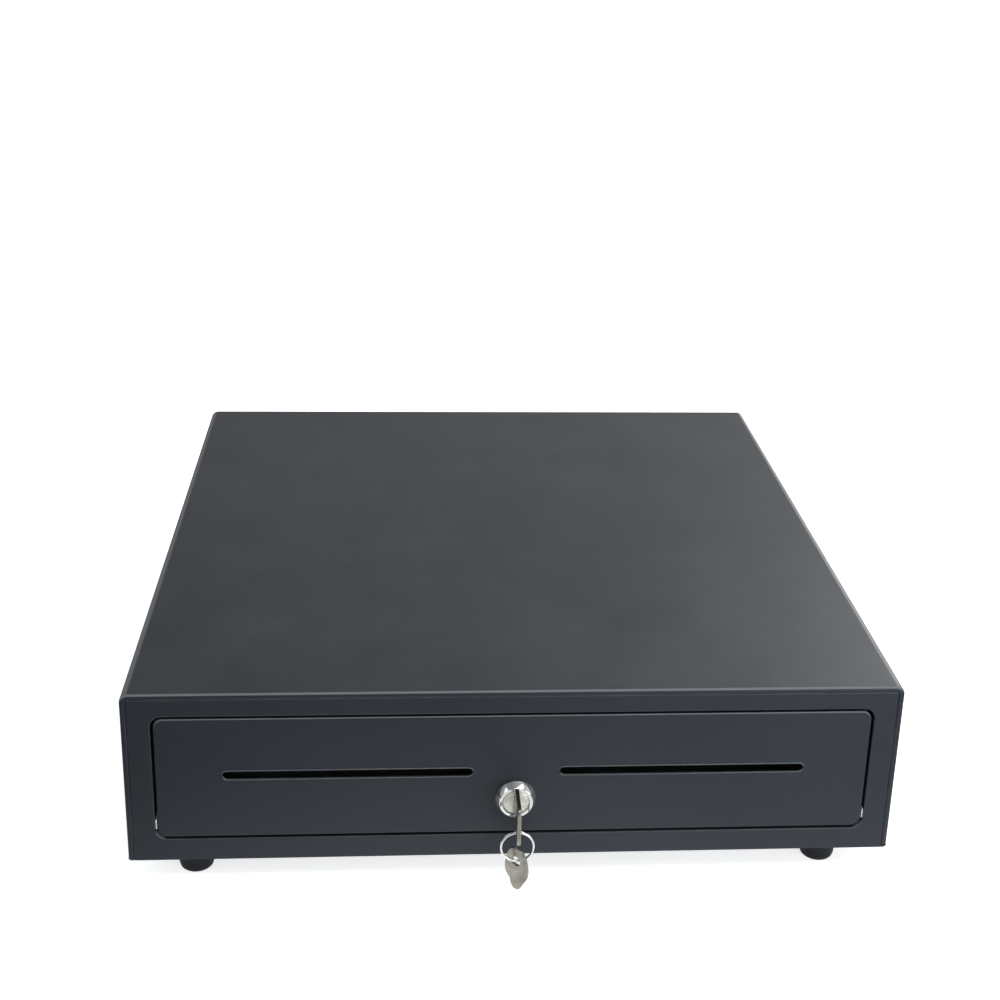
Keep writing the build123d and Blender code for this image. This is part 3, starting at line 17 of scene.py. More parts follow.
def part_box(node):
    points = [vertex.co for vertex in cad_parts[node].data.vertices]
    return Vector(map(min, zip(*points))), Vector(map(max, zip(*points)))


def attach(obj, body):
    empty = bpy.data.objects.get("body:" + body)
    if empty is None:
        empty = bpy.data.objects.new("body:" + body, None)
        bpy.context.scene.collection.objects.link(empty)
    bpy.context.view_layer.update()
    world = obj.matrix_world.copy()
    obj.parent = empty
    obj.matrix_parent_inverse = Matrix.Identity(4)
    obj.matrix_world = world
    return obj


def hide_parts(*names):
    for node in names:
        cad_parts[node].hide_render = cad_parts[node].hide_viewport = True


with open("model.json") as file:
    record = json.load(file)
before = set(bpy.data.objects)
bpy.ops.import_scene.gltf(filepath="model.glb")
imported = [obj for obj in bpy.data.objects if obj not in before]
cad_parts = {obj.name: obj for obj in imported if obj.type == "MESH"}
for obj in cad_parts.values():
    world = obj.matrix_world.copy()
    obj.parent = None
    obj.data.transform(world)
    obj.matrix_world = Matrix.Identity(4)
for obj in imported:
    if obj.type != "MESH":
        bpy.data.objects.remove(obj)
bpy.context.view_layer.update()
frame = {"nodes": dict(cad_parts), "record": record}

scene = bpy.context.scene
mm = 0.001
merge_distance = 0.002 * mm

# %% [markdown]
# ## Where things are
#
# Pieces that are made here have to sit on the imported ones. Their places are therefore read from the
# boxes of the nodes that carry them, and not typed a second time: the drawer front gives the front
# plane, the lock's plug gives the lock's axis, and the base plate gives the housing's underside.

# %% Reference places
panel_low = Vector(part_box("drawer_front")[0])
plug_low, plug_high = (Vector(corner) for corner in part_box("lock_plug"))
cover_low, cover_high = (Vector(corner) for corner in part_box("cover_shell"))
front_plane = panel_low.y
underside = cover_low.z
lock_z = (plug_low.z + plug_high.z) / 2
print("front plane", round(front_plane, 4), "underside", round(underside, 4), "lock", round(lock_z, 4))

# %% [markdown]
# ## The camera
#
# The photograph's lens, height and tilt were worked out from the corners of the housing, whose real
# size is known. A camera in Blender looks down its own -Z. It is turned up to the horizon, lowered to
# its slope, swung to its heading and last rolled about its own axis. The photograph was cropped, so
# the lens axis doesn't pass through the picture's middle, and the shift says by how much.

# %% Camera
picture_side = 1000
lens_axis_px = (507.54, 381.62)
focal_px = 1543.07
sensor_width, view_end = 36.0, 20.0
camera_heading = math.radians(4.24)
camera_slope = math.radians(19.222)
camera_roll = math.radians(1.581)
camera_side, camera_before, camera_above = -62.31 * mm, -700.03 * mm, 514.64 * mm

camera_data = bpy.data.cameras.new("camera")
camera_data.sensor_width = sensor_width
camera_data.lens = focal_px * sensor_width / picture_side
camera_data.shift_x = 0.5 - lens_axis_px[0] / picture_side
camera_data.shift_y = lens_axis_px[1] / picture_side - 0.5
camera_data.clip_end = view_end
camera = bpy.data.objects.new("camera", camera_data)
scene.collection.objects.link(camera)
camera.matrix_world = (
    Matrix.Translation((camera_side, front_plane + camera_before, underside + camera_above))
    @ Matrix.Rotation(-camera_heading, 4, "Z")
    @ Matrix.Rotation(math.pi / 2 - camera_slope, 4, "X")
    @ Matrix.Rotation(camera_roll, 4, "Z")
)
scene.camera = camera
scene.view_settings.view_transform = "Standard"
print("lens", round(camera_data.lens, 2), "mm")

# %% [markdown]
# ## Floor, backdrop and light
#
# The photograph shows the drawer on plain white. Making a white ground with more light would bleach
# the object, so the ground is white only where the camera and reflections see it: Light Path tells
# the material which kind of ray has arrived. Node trees are wired by four small helpers: one adds a
# node, one links two nodes, one joins two values by an operation, one maps a value to a range.


# %% Helpers for node trees
def put(tree, kind, **settings):
    """Add a node; names with a leading capital set inputs, the others set the node's own options."""
    node = tree.nodes.new(kind)
    for key, value in settings.items():
        if key[0].isupper():
            node.inputs[key.replace("_", " ")].default_value = value
        else:
            setattr(node, key, value)
    return node


def join(tree, source, target, output=0, socket=0):
    """Link one node's output to another's input, each named by its label or its place in the list."""
    tree.links.new(source.outputs[output], target.inputs[socket])


def combined(tree, operation, first, second, first_output=0, second_output=0):
    """One operation on two values, each an output of a node."""
    node = put(tree, "ShaderNodeMath", operation=operation)
    join(tree, first, node, first_output, 0)
    join(tree, second, node, second_output, 1)
    return node


def between(tree, driver, low, high, output=0, start=0.3, end=0.7):
    """A value that goes from low to high as another goes from start to end."""
    ramp = put(tree, "ShaderNodeMapRange", From_Min=start, From_Max=end, To_Min=low, To_Max=high)
    join(tree, driver, ramp, output, "Value")
    return ramp


# %% [markdown]
# ### The room
#
# A camera ray that misses the object meets plain white, and a ray of light meets an even, slightly
# blue sky. A mirrored ray meets a white room that is dimmer overhead, on the left and in front,
# because a soft coat shows such differences as the slow gradients that the photograph has.

# %% World
white = (1.0, 1.0, 1.0, 1.0)
sky_light, sky_tint = 0.45, (0.93, 0.97, 1.0, 1.0)
ceiling_light, ceiling_start, ceiling_end = 0.5, 0.15, 0.9
left_light, left_end, left_start = 0.5, -0.35, 0.35
front_light, front_end, front_start = 0.2, -0.85, -0.3

world = bpy.data.worlds.new("studio")
scene.world = world
world.use_nodes = True
tree = world.node_tree
tree.nodes.clear()
rays = put(tree, "ShaderNodeLightPath")
towards = put(tree, "ShaderNodeTexCoord")
parts = put(tree, "ShaderNodeSeparateXYZ")
join(tree, towards, parts, "Generated", 0)
overhead = between(tree, parts, 1.0, ceiling_light, "Z", start=ceiling_start, end=ceiling_end)
sideways = between(tree, parts, left_light, 1.0, "X", start=left_end, end=left_start)
in_front = between(tree, parts, front_light, 1.0, "Y", start=front_end, end=front_start)
dimmed = combined(tree, "MULTIPLY", overhead, combined(tree, "MULTIPLY", sideways, in_front))
room_light = combined(tree, "MAXIMUM", dimmed, rays, 0, "Is Camera Ray")
room = put(tree, "ShaderNodeBackground", Color=white)
join(tree, room_light, room, 0, "Strength")
sky = put(tree, "ShaderNodeBackground", Color=sky_tint, Strength=sky_light)
seen = combined(tree, "MAXIMUM", rays, rays, "Is Camera Ray", "Is Glossy Ray")
seen_or_through = combined(tree, "MAXIMUM", seen, rays, 0, "Is Transmission Ray")
choice = put(tree, "ShaderNodeMixShader")
join(tree, seen_or_through, choice, 0, 0)
join(tree, sky, choice, 0, 1)
join(tree, room, choice, 0, 2)
join(tree, choice, put(tree, "ShaderNodeOutputWorld"))
print("sky", sky_light, "ceiling", ceiling_light, "left", left_light, "front", front_light)

# %% [markdown]
# ### The floor
#
# The floor is pale grey and takes the object's shadow. To the camera and in mirrors it also glows, so
# that it looks white. In mirrors it darkens away from the drawer, because the upright front mirrors
# the near floor low down and the far floor high up, and the photograph is darker there.


# %% Helpers for materials
def new_finish(name, **settings):
    """A material and its shader, with the constants set on the shader's own sockets."""
    material = bpy.data.materials.new(name)
    material.use_nodes = True
    shader = material.node_tree.nodes["Principled BSDF"]
    for key, value in settings.items():
        shader.inputs[key.replace("_", " ")].default_value = value
    return material, material.node_tree, shader


def blend_colours(tree, driver, first, second, output=0):
    """A colour mixed by a mask; each of the two is a plain colour or a node's output."""
    mixer = put(tree, "ShaderNodeMix", data_type="RGBA")
    join(tree, driver, mixer, output, "Factor")
    for slot_number, colour in ((6, first), (7, second)):
        if isinstance(colour, tuple):
            mixer.inputs[slot_number].default_value = (*colour, 1.0)
        else:
            tree.links.new(colour, mixer.inputs[slot_number])
    return mixer.outputs[2]


# %% Floor
floor_half, floor_glow = 6.0, 0.72
floor_grey, unlit = (0.86, 0.86, 0.86), (0.0, 0.0, 0.0)
bright_reach, dim_reach, far_dimming = 0.22, 0.40, 0.86

floor_paint, tree, shader = new_finish(
    "floor_paint", Roughness=0.9, Specular_IOR_Level=0.0, Emission_Color=white
)
rays = put(tree, "ShaderNodeLightPath")
place = put(tree, "ShaderNodeTexCoord")
from_middle = put(tree, "ShaderNodeVectorMath", operation="LENGTH")
join(tree, place, from_middle, "Object", 0)
far_loss = between(tree, from_middle, 0.0, far_dimming, "Value", start=bright_reach, end=dim_reach)
loss_in_mirrors = combined(tree, "MULTIPLY", far_loss, rays, 0, "Is Glossy Ray")
shade = between(tree, loss_in_mirrors, 1.0, 0.0, start=0.0, end=1.0)
looked_at = combined(tree, "MAXIMUM", rays, rays, "Is Camera Ray", "Is Glossy Ray")
glow = between(tree, looked_at, 0.0, floor_glow, start=0.0, end=1.0)
join(tree, combined(tree, "MULTIPLY", shade, glow), shader, 0, "Emission Strength")
tree.links.new(blend_colours(tree, shade, unlit, floor_grey), shader.inputs["Base Color"])

floor_mesh = bpy.data.meshes.new("floor")
shape = bmesh.new()
bmesh.ops.create_grid(shape, x_segments=1, y_segments=1, size=floor_half)
shape.to_mesh(floor_mesh)
shape.free()
floor = bpy.data.objects.new("floor", floor_mesh)
floor.data.materials.append(floor_paint)
scene.collection.objects.link(floor)
print("floor", 2 * floor_half, "m wide")

# %% [markdown]
# ### The lamps
#
# Large lamps give the broad, faint sheen that a fine-texture powder coat shows. The key stands behind
# the drawer on the right and rakes over its top. A low lamp lights the front, a long narrow one above
# it lights the cover's fold, and a weak one on the left fills the shadows.

# %% Lamps
object_middle = Vector((0.0, 0.0, 0.06))
warm_white, plain_white, cool_white = (1.0, 0.99, 0.97), (1.0, 1.0, 1.0), (0.90, 0.95, 1.0)


def soft_lamp(name, place, width, height, power, colour):
    """A rectangular lamp at a place, turned to face the object."""
    lamp = bpy.data.lights.new(name, "AREA")
    lamp.shape = "RECTANGLE"
    lamp.size, lamp.size_y = width, height
    lamp.energy = power
    lamp.color = colour
    holder = bpy.data.objects.new(name, lamp)
    facing = (object_middle - Vector(place)).to_track_quat("-Z", "Y")
    holder.matrix_world = Matrix.Translation(place) @ facing.to_matrix().to_4x4()
    scene.collection.objects.link(holder)
    print(name, power, "W")


soft_lamp("key_lamp", (0.95, 0.75, 0.85), width=0.8, height=0.9, power=13.0, colour=warm_white)
soft_lamp("low_lamp", (0.5, -0.8, 0.1), width=0.5, height=0.18, power=3.4, colour=cool_white)
soft_lamp("fold_lamp", (0.35, -0.62, 1.15), width=1.1, height=0.25, power=7.0, colour=plain_white)
soft_lamp("fill_lamp", (-1.3, -0.9, 0.9), width=1.0, height=1.0, power=4.0, colour=cool_white)

# %% [markdown]
# ## Effects that several finishes share
#
# Grain, brushing, worn edges and dust turn up on many materials at different sizes. Each is a node
# group, built once, with its size and strength as inputs. A group puts out plain values and normals,
# and the shader itself stays in the material, where an export can read it. All patterns use Object
# coordinates, so they keep one real size on every piece and travel with the drawer when it opens.


# %% A helper for node groups
def effect(name, inputs, outputs):
    """Start a node group with float or vector inputs and the named outputs."""
    group = bpy.data.node_groups.new(name, "ShaderNodeTree")
    for label, value in inputs.items():
        kind = "NodeSocketVector" if isinstance(value, tuple) else "NodeSocketFloat"
        group.interface.new_socket(name=label, in_out="INPUT", socket_type=kind).default_value = value
    for label, kind in outputs.items():
        group.interface.new_socket(name=label, in_out="OUTPUT", socket_type="NodeSocket" + kind)
    return group, group.nodes.new("NodeGroupInput"), group.nodes.new("NodeGroupOutput")


# %% [markdown]
# ### Powder grain
#
# Melted powder stands in rounded specks, and its tone drifts slowly over a hand's width. Smooth cells
# taken away from a fine noise give the specks, and a coarse noise gives the drift.

# %% Powder grain
cell_weight = -0.6
grain, given, made = effect(
    "powder_grain",
    {"Per Metre": 900.0, "Drift Per Metre": 9.0},
    {"Height": "Float", "Drift": "Float"},
)
place = put(grain, "ShaderNodeTexCoord")
specks = put(grain, "ShaderNodeTexNoise", Detail=4.0, Roughness=0.6)
cells = put(grain, "ShaderNodeTexVoronoi", feature="SMOOTH_F1", Smoothness=0.6)
drift = put(grain, "ShaderNodeTexNoise", Detail=3.0, Roughness=0.5)
for pattern, per_metre in ((specks, 0), (cells, 0), (drift, 1)):
    join(grain, place, pattern, "Object", "Vector")
    join(grain, given, pattern, per_metre, "Scale")
height = put(grain, "ShaderNodeMath", operation="MULTIPLY_ADD")
height.inputs[1].default_value = cell_weight
join(grain, cells, height, "Distance", 0)
join(grain, specks, height, 0, 2)
join(grain, height, made, 0, "Height")
join(grain, drift, made, 0, "Drift")
print(grain.name, len(grain.nodes), "nodes")

# %% [markdown]
# ### Rounded edges
#
# The Bevel node gives a normal that rolls over a sharp edge. Where it departs from the real normal
# there is an edge, and a noise breaks that line up into rubs, because hands and cloths don't wear an
# edge evenly.

# %% Rounded edge
edges, given, made = effect(
    "rounded_edge",
    {"Radius": 0.0008, "Rub Per Metre": 60.0},
    {"Normal": "Vector", "Rubbed": "Float", "Painted Highlight": "Float"},
)
rolled = put(edges, "ShaderNodeBevel", samples=6)
surface = put(edges, "ShaderNodeNewGeometry")
agreement = put(edges, "ShaderNodeVectorMath", operation="DOT_PRODUCT")
join(edges, given, rolled, "Radius", "Radius")
join(edges, rolled, agreement, 0, 0)
join(edges, surface, agreement, "Normal", 1)
on_edge = between(edges, agreement, 0.0, 1.0, "Value", start=0.995, end=0.86)
place = put(edges, "ShaderNodeTexCoord")
breaks = put(edges, "ShaderNodeTexNoise", Detail=4.0, Roughness=0.65)
join(edges, place, breaks, "Object", "Vector")
join(edges, given, breaks, "Rub Per Metre", "Scale")
worn_away = between(edges, breaks, 0.0, 1.0, start=0.42, end=0.62)
join(edges, rolled, made, 0, "Normal")
join(edges, combined(edges, "MULTIPLY", on_edge, worn_away), made, 0, "Rubbed")
print(edges.name, len(edges.nodes), "nodes")

# %% [markdown]
# ### Painted highlight on edges that look up
#
# A folded edge catches light from above along its whole length. This mask paints that highlight into
# a colour. It has two sources: rolled edges that look up, faintly, and real slopes that are neither
# flat nor upright, in full.

# %% Painted highlight on edges
rolled_gain = 0.4
rolled_parts = put(edges, "ShaderNodeSeparateXYZ")
own_parts = put(edges, "ShaderNodeSeparateXYZ")
join(edges, rolled, rolled_parts)
join(edges, surface, own_parts, "True Normal", 0)
looks_up = between(edges, rolled_parts, 0.0, rolled_gain, "Z", start=0.15, end=0.6)
sloped = between(edges, own_parts, 0.0, 1.0, "Z", start=0.15, end=0.4)
not_flat = between(edges, own_parts, 0.0, 1.0, "Z", start=0.99, end=0.95)
# The painted highlight's mask: faint on rolled edges that look up, full on sloped faces.
rolled_highlight = combined(edges, "MULTIPLY", looks_up, on_edge)
sloped_highlight = combined(edges, "MULTIPLY", sloped, not_flat)
join(edges, combined(edges, "MAXIMUM", rolled_highlight, sloped_highlight), made, 0, "Painted Highlight")
print(edges.name, "now", len(edges.nodes), "nodes")

# %% [markdown]
# ### Drawn lines
#
# Rolling, brushing and drawing leave streaks along one direction. Noise stretched along one axis gives
# them, and a second, cloudy noise gives the smears of handling.

# %% Drawn lines
lines, given, made = effect(
    "drawn_lines",
    {"Stretch": (1400.0, 1400.0, 14.0)},
    {"Streak": "Float", "Smear": "Float"},
)
place = put(lines, "ShaderNodeTexCoord")
stretched = put(lines, "ShaderNodeVectorMath", operation="MULTIPLY")
streak = put(lines, "ShaderNodeTexNoise", Scale=1.0, Detail=3.0, Roughness=0.6)
smear = put(lines, "ShaderNodeTexNoise", Scale=22.0, Detail=5.0, Roughness=0.62, Distortion=0.4)
join(lines, place, stretched, "Object", 0)
join(lines, given, stretched, "Stretch", 1)
join(lines, stretched, streak, 0, "Vector")
join(lines, place, smear, "Object", "Vector")
join(lines, streak, made, 0, "Streak")
join(lines, smear, made, 0, "Smear")
print(lines.name, len(lines.nodes), "nodes")

# %% [markdown]
# ### Dust
#
# Dust lies in a thin patchy layer on faces that look up. The normal's height says which those are.

# %% Settled dust
dust, given, made = effect("settled_dust", {"Amount": 0.2}, {"Dusty": "Float"})
surface = put(dust, "ShaderNodeNewGeometry")
upward = put(dust, "ShaderNodeSeparateXYZ")
place = put(dust, "ShaderNodeTexCoord")
cloud = put(dust, "ShaderNodeTexNoise", Scale=14.0, Detail=8.0, Roughness=0.7)
join(dust, surface, upward, "Normal", 0)
join(dust, place, cloud, "Object", "Vector")
lying = between(dust, upward, 0.0, 1.0, "Z", start=0.6, end=0.95)
patchy = between(dust, cloud, 0.0, 1.0, start=0.35, end=0.75)
thin = combined(dust, "MULTIPLY", lying, patchy)
join(dust, combined(dust, "MULTIPLY", thin, given, 0, "Amount"), made, 0, "Dusty")
print(dust.name, len(dust.nodes), "nodes")

# %% [markdown]
# ## Finishes
#
# Every finish follows one recipe. A pattern drives the colour between two near tones, the same or a
# second pattern drives the roughness, a fine pattern becomes a bump, and the rounded-edge normal goes
# under that bump, so a knife-sharp edge catches a thin line of light as real folded sheet does.


# %% The recipe
def place_group(tree, group, **settings):
    """Put a shared effect in a material and set its inputs."""
    node = tree.nodes.new("ShaderNodeGroup")
    node.node_tree = group
    for key, value in settings.items():
        node.inputs[key.replace("_", " ")].default_value = value
    return node


def weakened(tree, driver, output, most):
    """A mask scaled so that it reaches only this much."""
    return between(tree, driver, 0.0, most, output, start=0.0, end=1.0)


def raised(tree, driver, distance, normal, output, strength):
    """A bump of real height over a given normal."""
    bump = put(tree, "ShaderNodeBump", Strength=strength, Distance=distance)
    join(tree, driver, bump, output, "Height")
    tree.links.new(normal, bump.inputs["Normal"])
    return bump


def feed(material, shader, tone, gloss, bump):
    """Give a shader its colour, roughness and normal."""
    tree = material.node_tree
    tree.links.new(tone, shader.inputs["Base Color"])
    join(tree, gloss, shader, 0, "Roughness")
    join(tree, bump, shader, 0, "Normal")
    print(material.name, len(tree.nodes), "nodes")


# %% [markdown]
# ### Powder coat
#
# The housing and the drawer front are steel with a baked black powder coat. The powder melts into
# rounded specks a millimetre or less across, so it has a broad soft gloss and no mirror image. Its
# colour is a blue-black. Handled edges are rubbed smooth and look a little lighter. Folds and edges
# that look up get a painted highlight: a much lighter colour laid on them.

# %% Powder coat
coat_dark, coat_light = (0.0095, 0.0115, 0.0160), (0.0130, 0.0155, 0.0205)
coat_rubbed, coat_painted_highlight, coat_dust = (0.05, 0.053, 0.057), (0.13, 0.136, 0.145), (0.16, 0.16, 0.155)
coat_sheen = (0.86, 0.93, 1.0, 1.0)

powder_coat, tree, shader = new_finish("powder_coat", Specular_IOR_Level=0.40, Specular_Tint=coat_sheen)
specks = place_group(tree, grain, Per_Metre=1150.0, Drift_Per_Metre=7.0)
corner = place_group(tree, edges, Radius=1.3 * mm, Rub_Per_Metre=45.0)
dusty = place_group(tree, dust, Amount=0.10)
tone = blend_colours(tree, between(tree, specks, 0.0, 1.0, "Drift"), coat_dark, coat_light)
tone = blend_colours(tree, weakened(tree, corner, "Rubbed", most=0.5), tone, coat_rubbed)
# Painted highlight: folds and edges that look up are coloured lighter.
tone = blend_colours(tree, weakened(tree, corner, "Painted Highlight", most=0.9), tone, coat_painted_highlight)
tone = blend_colours(tree, dusty, tone, coat_dust, "Dusty")
gloss = between(tree, specks, 0.43, 0.5, "Drift")
bump = raised(tree, specks, 0.07 * mm, corner.outputs["Normal"], "Height", strength=0.55)
feed(powder_coat, shader, tone, gloss, bump)

# %% [markdown]
# ### Zinc, rails and bright steel
#
# The pan and the brackets are zinc-coated sheet: grey, cloudy, softly shiny and faintly lined by the
# rolls. The slides are harder and brighter, with lines along their length, because the strip is drawn
# through rollers that way. Bar, clips and pins are polished steel. The lines are noise stretched
# along one axis, and the same streaks drive both roughness and a shallow bump.

# %% Metals with drawn lines
bare_metal = (0.86, 0.87, 0.88)


def drawn_metal(name, dark, light, stretch, smooth, rough, scratch, radius=0.5 * mm):
    """A metal whose tone, gloss and bump follow drawn lines and a cloudy smear."""
    material, tree, shader = new_finish(name, Metallic=1.0)
    drawn = place_group(tree, lines, Stretch=stretch)
    corner = place_group(tree, edges, Radius=radius, Rub_Per_Metre=120.0)
    tone = blend_colours(tree, between(tree, drawn, 0.0, 1.0, "Smear"), dark, light)
    tone = blend_colours(tree, weakened(tree, corner, "Rubbed", most=0.6), tone, bare_metal)
    gloss = between(tree, drawn, smooth, rough, "Streak")
    bump = raised(tree, drawn, scratch, corner.outputs["Normal"], "Streak", strength=0.6)
    feed(material, shader, tone, gloss, bump)
    return material


zinc_sheet = drawn_metal(
    "zinc_sheet", dark=(0.47, 0.49, 0.5), light=(0.62, 0.64, 0.65),
    stretch=(700.0, 18.0, 700.0), smooth=0.34, rough=0.5, scratch=0.012 * mm,
)
rail_zinc = drawn_metal(
    "rail_zinc", dark=(0.6, 0.63, 0.66), light=(0.74, 0.77, 0.8),
    stretch=(2200.0, 9.0, 2200.0), smooth=0.16, rough=0.34, scratch=0.012 * mm,
)
bright_steel = drawn_metal(
    "bright_steel", dark=(0.66, 0.67, 0.69), light=(0.78, 0.79, 0.8),
    stretch=(12.0, 1800.0, 1800.0), smooth=0.14, rough=0.3, scratch=0.010 * mm,
)
ball_steel = drawn_metal(
    "ball_steel", dark=(0.72, 0.73, 0.75), light=(0.8, 0.81, 0.82),
    stretch=(300.0, 300.0, 300.0), smooth=0.04, rough=0.1, scratch=0.002 * mm,
)

# %% [markdown]
# ### Lock chrome and key nickel
#
# The lock's bezel is turned and then chromed, so it mirrors the room and keeps faint turning rings.
# Its plug is plain plated metal, yellower and duller. Keys are nickel-plated brass: warmer and duller
# still, with pocket scratches in all directions and brass where the plating has worn off the rims.

# %% Lock chrome and plug
lock_chrome = drawn_metal(
    "lock_chrome", dark=(0.62, 0.63, 0.63), light=(0.74, 0.75, 0.74),
    stretch=(900.0, 60.0, 900.0), smooth=0.05, rough=0.13, scratch=0.004 * mm, radius=0.3 * mm,
)
plug_metal = drawn_metal(
    "plug_metal", dark=(0.60, 0.60, 0.52), light=(0.72, 0.72, 0.64),
    stretch=(900.0, 900.0, 900.0), smooth=0.2, rough=0.34, scratch=0.006 * mm, radius=0.3 * mm,
)

# %% Key nickel
nickel_dark, nickel_light, worn_brass = (0.19, 0.18, 0.15), (0.33, 0.315, 0.275), (0.72, 0.70, 0.60)

key_nickel, tree, shader = new_finish("key_nickel", Metallic=1.0)
scratches = place_group(tree, lines, Stretch=(260.0, 260.0, 3200.0))
pitting = place_group(tree, grain, Per_Metre=2600.0, Drift_Per_Metre=160.0)
corner = place_group(tree, edges, Radius=0.4 * mm, Rub_Per_Metre=300.0)
tone = blend_colours(tree, between(tree, pitting, 0.0, 1.0, "Drift"), nickel_dark, nickel_light)
tone = blend_colours(tree, weakened(tree, corner, "Rubbed", most=0.8), tone, worn_brass)
gloss = between(tree, scratches, 0.22, 0.46, "Streak")
bump = raised(tree, pitting, 0.03 * mm, corner.outputs["Normal"], "Height", strength=0.5)
feed(key_nickel, shader, tone, gloss, bump)

# %% [markdown]
# ### Plastics, rubber and dark screws
#
# The tray and its cups are moulded black plastic. The mould is spark-eroded, so their faces carry a
# fine even grain and a satin gloss. Rubber is the same kind of pattern, rougher and duller, with dust
# in it. Screws are blackened steel: dark, oily and a bit brown on the worn edges.

# %% Moulded and rubbery finishes
moulded_dust = (0.2, 0.19, 0.18)


def moulded(name, dark, light, smooth, rough, per_metre, depth, worn, dusting, gloss_level=0.5):
    """A non-metal with a fine moulded grain, rubbed edges and a little dust."""
    material, tree, shader = new_finish(name, Specular_IOR_Level=gloss_level)
    specks = place_group(tree, grain, Per_Metre=per_metre, Drift_Per_Metre=25.0)
    corner = place_group(tree, edges, Radius=0.5 * mm, Rub_Per_Metre=150.0)
    dusty = place_group(tree, dust, Amount=dusting)
    tone = blend_colours(tree, between(tree, specks, 0.0, 1.0, "Drift"), dark, light)
    tone = blend_colours(tree, weakened(tree, corner, "Rubbed", most=0.5), tone, worn)
    tone = blend_colours(tree, dusty, tone, moulded_dust, "Dusty")
    gloss = between(tree, specks, smooth, rough, "Drift")
    bump = raised(tree, specks, depth, corner.outputs["Normal"], "Height", strength=0.6)
    feed(material, shader, tone, gloss, bump)
    return material


# %% Plastics, rubber, screws and tape
tray_plastic = moulded(
    "tray_plastic", dark=(0.010, 0.010, 0.012), light=(0.016, 0.016, 0.018), smooth=0.26, rough=0.36,
    per_metre=2200.0, depth=0.03 * mm, worn=(0.04, 0.04, 0.045), dusting=0.12,
)
electric_plastic = moulded(
    "electric_plastic", dark=(0.016, 0.016, 0.017), light=(0.022, 0.022, 0.024), smooth=0.32, rough=0.42,
    per_metre=2600.0, depth=0.02 * mm, worn=(0.06, 0.06, 0.06), dusting=0.1,
)
foot_rubber = moulded(
    "foot_rubber", dark=(0.004, 0.005, 0.008), light=(0.008, 0.009, 0.013), smooth=0.55, rough=0.7,
    per_metre=1500.0, depth=0.06 * mm, worn=(0.02, 0.02, 0.025), dusting=0.1, gloss_level=0.2,
)
screw_black = moulded(
    "screw_black", dark=(0.016, 0.015, 0.015), light=(0.032, 0.029, 0.027), smooth=0.3, rough=0.45,
    per_metre=3000.0, depth=0.01 * mm, worn=(0.12, 0.10, 0.08), dusting=0.08,
)
cable_jacket = moulded(
    "cable_jacket", dark=(0.014, 0.014, 0.015), light=(0.022, 0.022, 0.023), smooth=0.38, rough=0.5,
    per_metre=1800.0, depth=0.02 * mm, worn=(0.05, 0.05, 0.05), dusting=0.2,
)
coil_tape = moulded(
    "coil_tape", dark=(0.46, 0.33, 0.05), light=(0.6, 0.45, 0.09), smooth=0.22, rough=0.36,
    per_metre=600.0, depth=0.04 * mm, worn=(0.7, 0.6, 0.3), dusting=0.1,
)

# %% [markdown]
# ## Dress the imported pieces
#
# The record says which finish each node has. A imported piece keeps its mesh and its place, and only
# the material in its slots changes.

# %% Assign the finishes
finishes = {
    "powder_coat": powder_coat,
    "zinc_sheet": zinc_sheet,
    "rail_zinc": rail_zinc,
    "bright_steel": bright_steel,
    "ball_steel": ball_steel,
    "lock_chrome": lock_chrome,
    "key_nickel": key_nickel,
    "foot_rubber": foot_rubber,
    "screw_black": screw_black,
    "tray_plastic": tray_plastic,
    "electric_plastic": electric_plastic,
    "coil_tape": coil_tape,
    "cable_jacket": cable_jacket,
}
dressed = 0
for row in frame["record"]["subparts"]:
    node = frame["nodes"][row["node"]]
    for slot_of_node in node.material_slots:
        slot_of_node.material = finishes[row["material_slot"]]
        dressed += 1
for slot_of_node in frame["nodes"]["lock_plug"].material_slots:
    slot_of_node.material = plug_metal
print("slots dressed", dressed)

# %% [markdown]
# ## Small pieces made here
#
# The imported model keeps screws, keys and the lock's face plain. These are the pieces that a hand goes
# to and an eye rests on, so they are modelled again with the marks of how they are made: a cross
# punched in a screw's head, a key stamped from sheet with a rounded rim, a bezel turned on a lathe.
# The helpers finish a piece, turn a profile, draw a curve, cut a plate and repeat a shape.


# %% A helper that finishes a piece
def finished(shape, name, material, body, node=None, sharp=33.0):
    """Close a shape, give it one finish, and let it ride on a body, in place of a node if one is named."""
    bmesh.ops.remove_doubles(shape, verts=shape.verts, dist=merge_distance)
    bmesh.ops.recalc_face_normals(shape, faces=shape.faces)
    mesh = bpy.data.meshes.new(name)
    shape.to_mesh(mesh)
    shape.free()
    mesh.shade_smooth()
    mesh.set_sharp_from_angle(angle=math.radians(sharp))
    mesh.materials.append(material)
    piece = bpy.data.objects.new(name, mesh)
    scene.collection.objects.link(piece)
    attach(piece, body)
    if node:
        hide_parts(node)
    print(name, len(mesh.polygons), "faces on", body)
    return piece


# %% A helper that turns a profile
def turned(profile, steps):
    """A closed profile of (radius, height) points turned about the local Z axis."""
    shape = bmesh.new()
    corners = [shape.verts.new((radius, 0.0, height)) for radius, height in profile]
    sides = [shape.edges.new(pair) for pair in zip(corners, corners[1:] + corners[:1])]
    whole = {"cent": (0, 0, 0), "axis": (0, 0, 1), "angle": math.tau, "use_merge": True}
    bmesh.ops.spin(shape, geom=corners + sides, steps=steps, **whole)
    return shape


# %% Helpers that draw a smooth curve and cut a plate from one
def add_spline(curve, points):
    """A smooth spline led by control points."""
    spline = curve.splines.new("NURBS")
    spline.points.add(len(points) - 1)
    for point, place in zip(spline.points, points):
        point.co = (*place, 1.0)
    spline.order_u = 3
    return spline


def as_shape(curve):
    """The mesh that a curve gives."""
    holder = bpy.data.objects.new(curve.name, curve)
    mesh = bpy.data.meshes.new_from_object(holder)
    shape = bmesh.new()
    shape.from_mesh(mesh)
    bpy.data.objects.remove(holder)
    bpy.data.meshes.remove(mesh)
    return shape


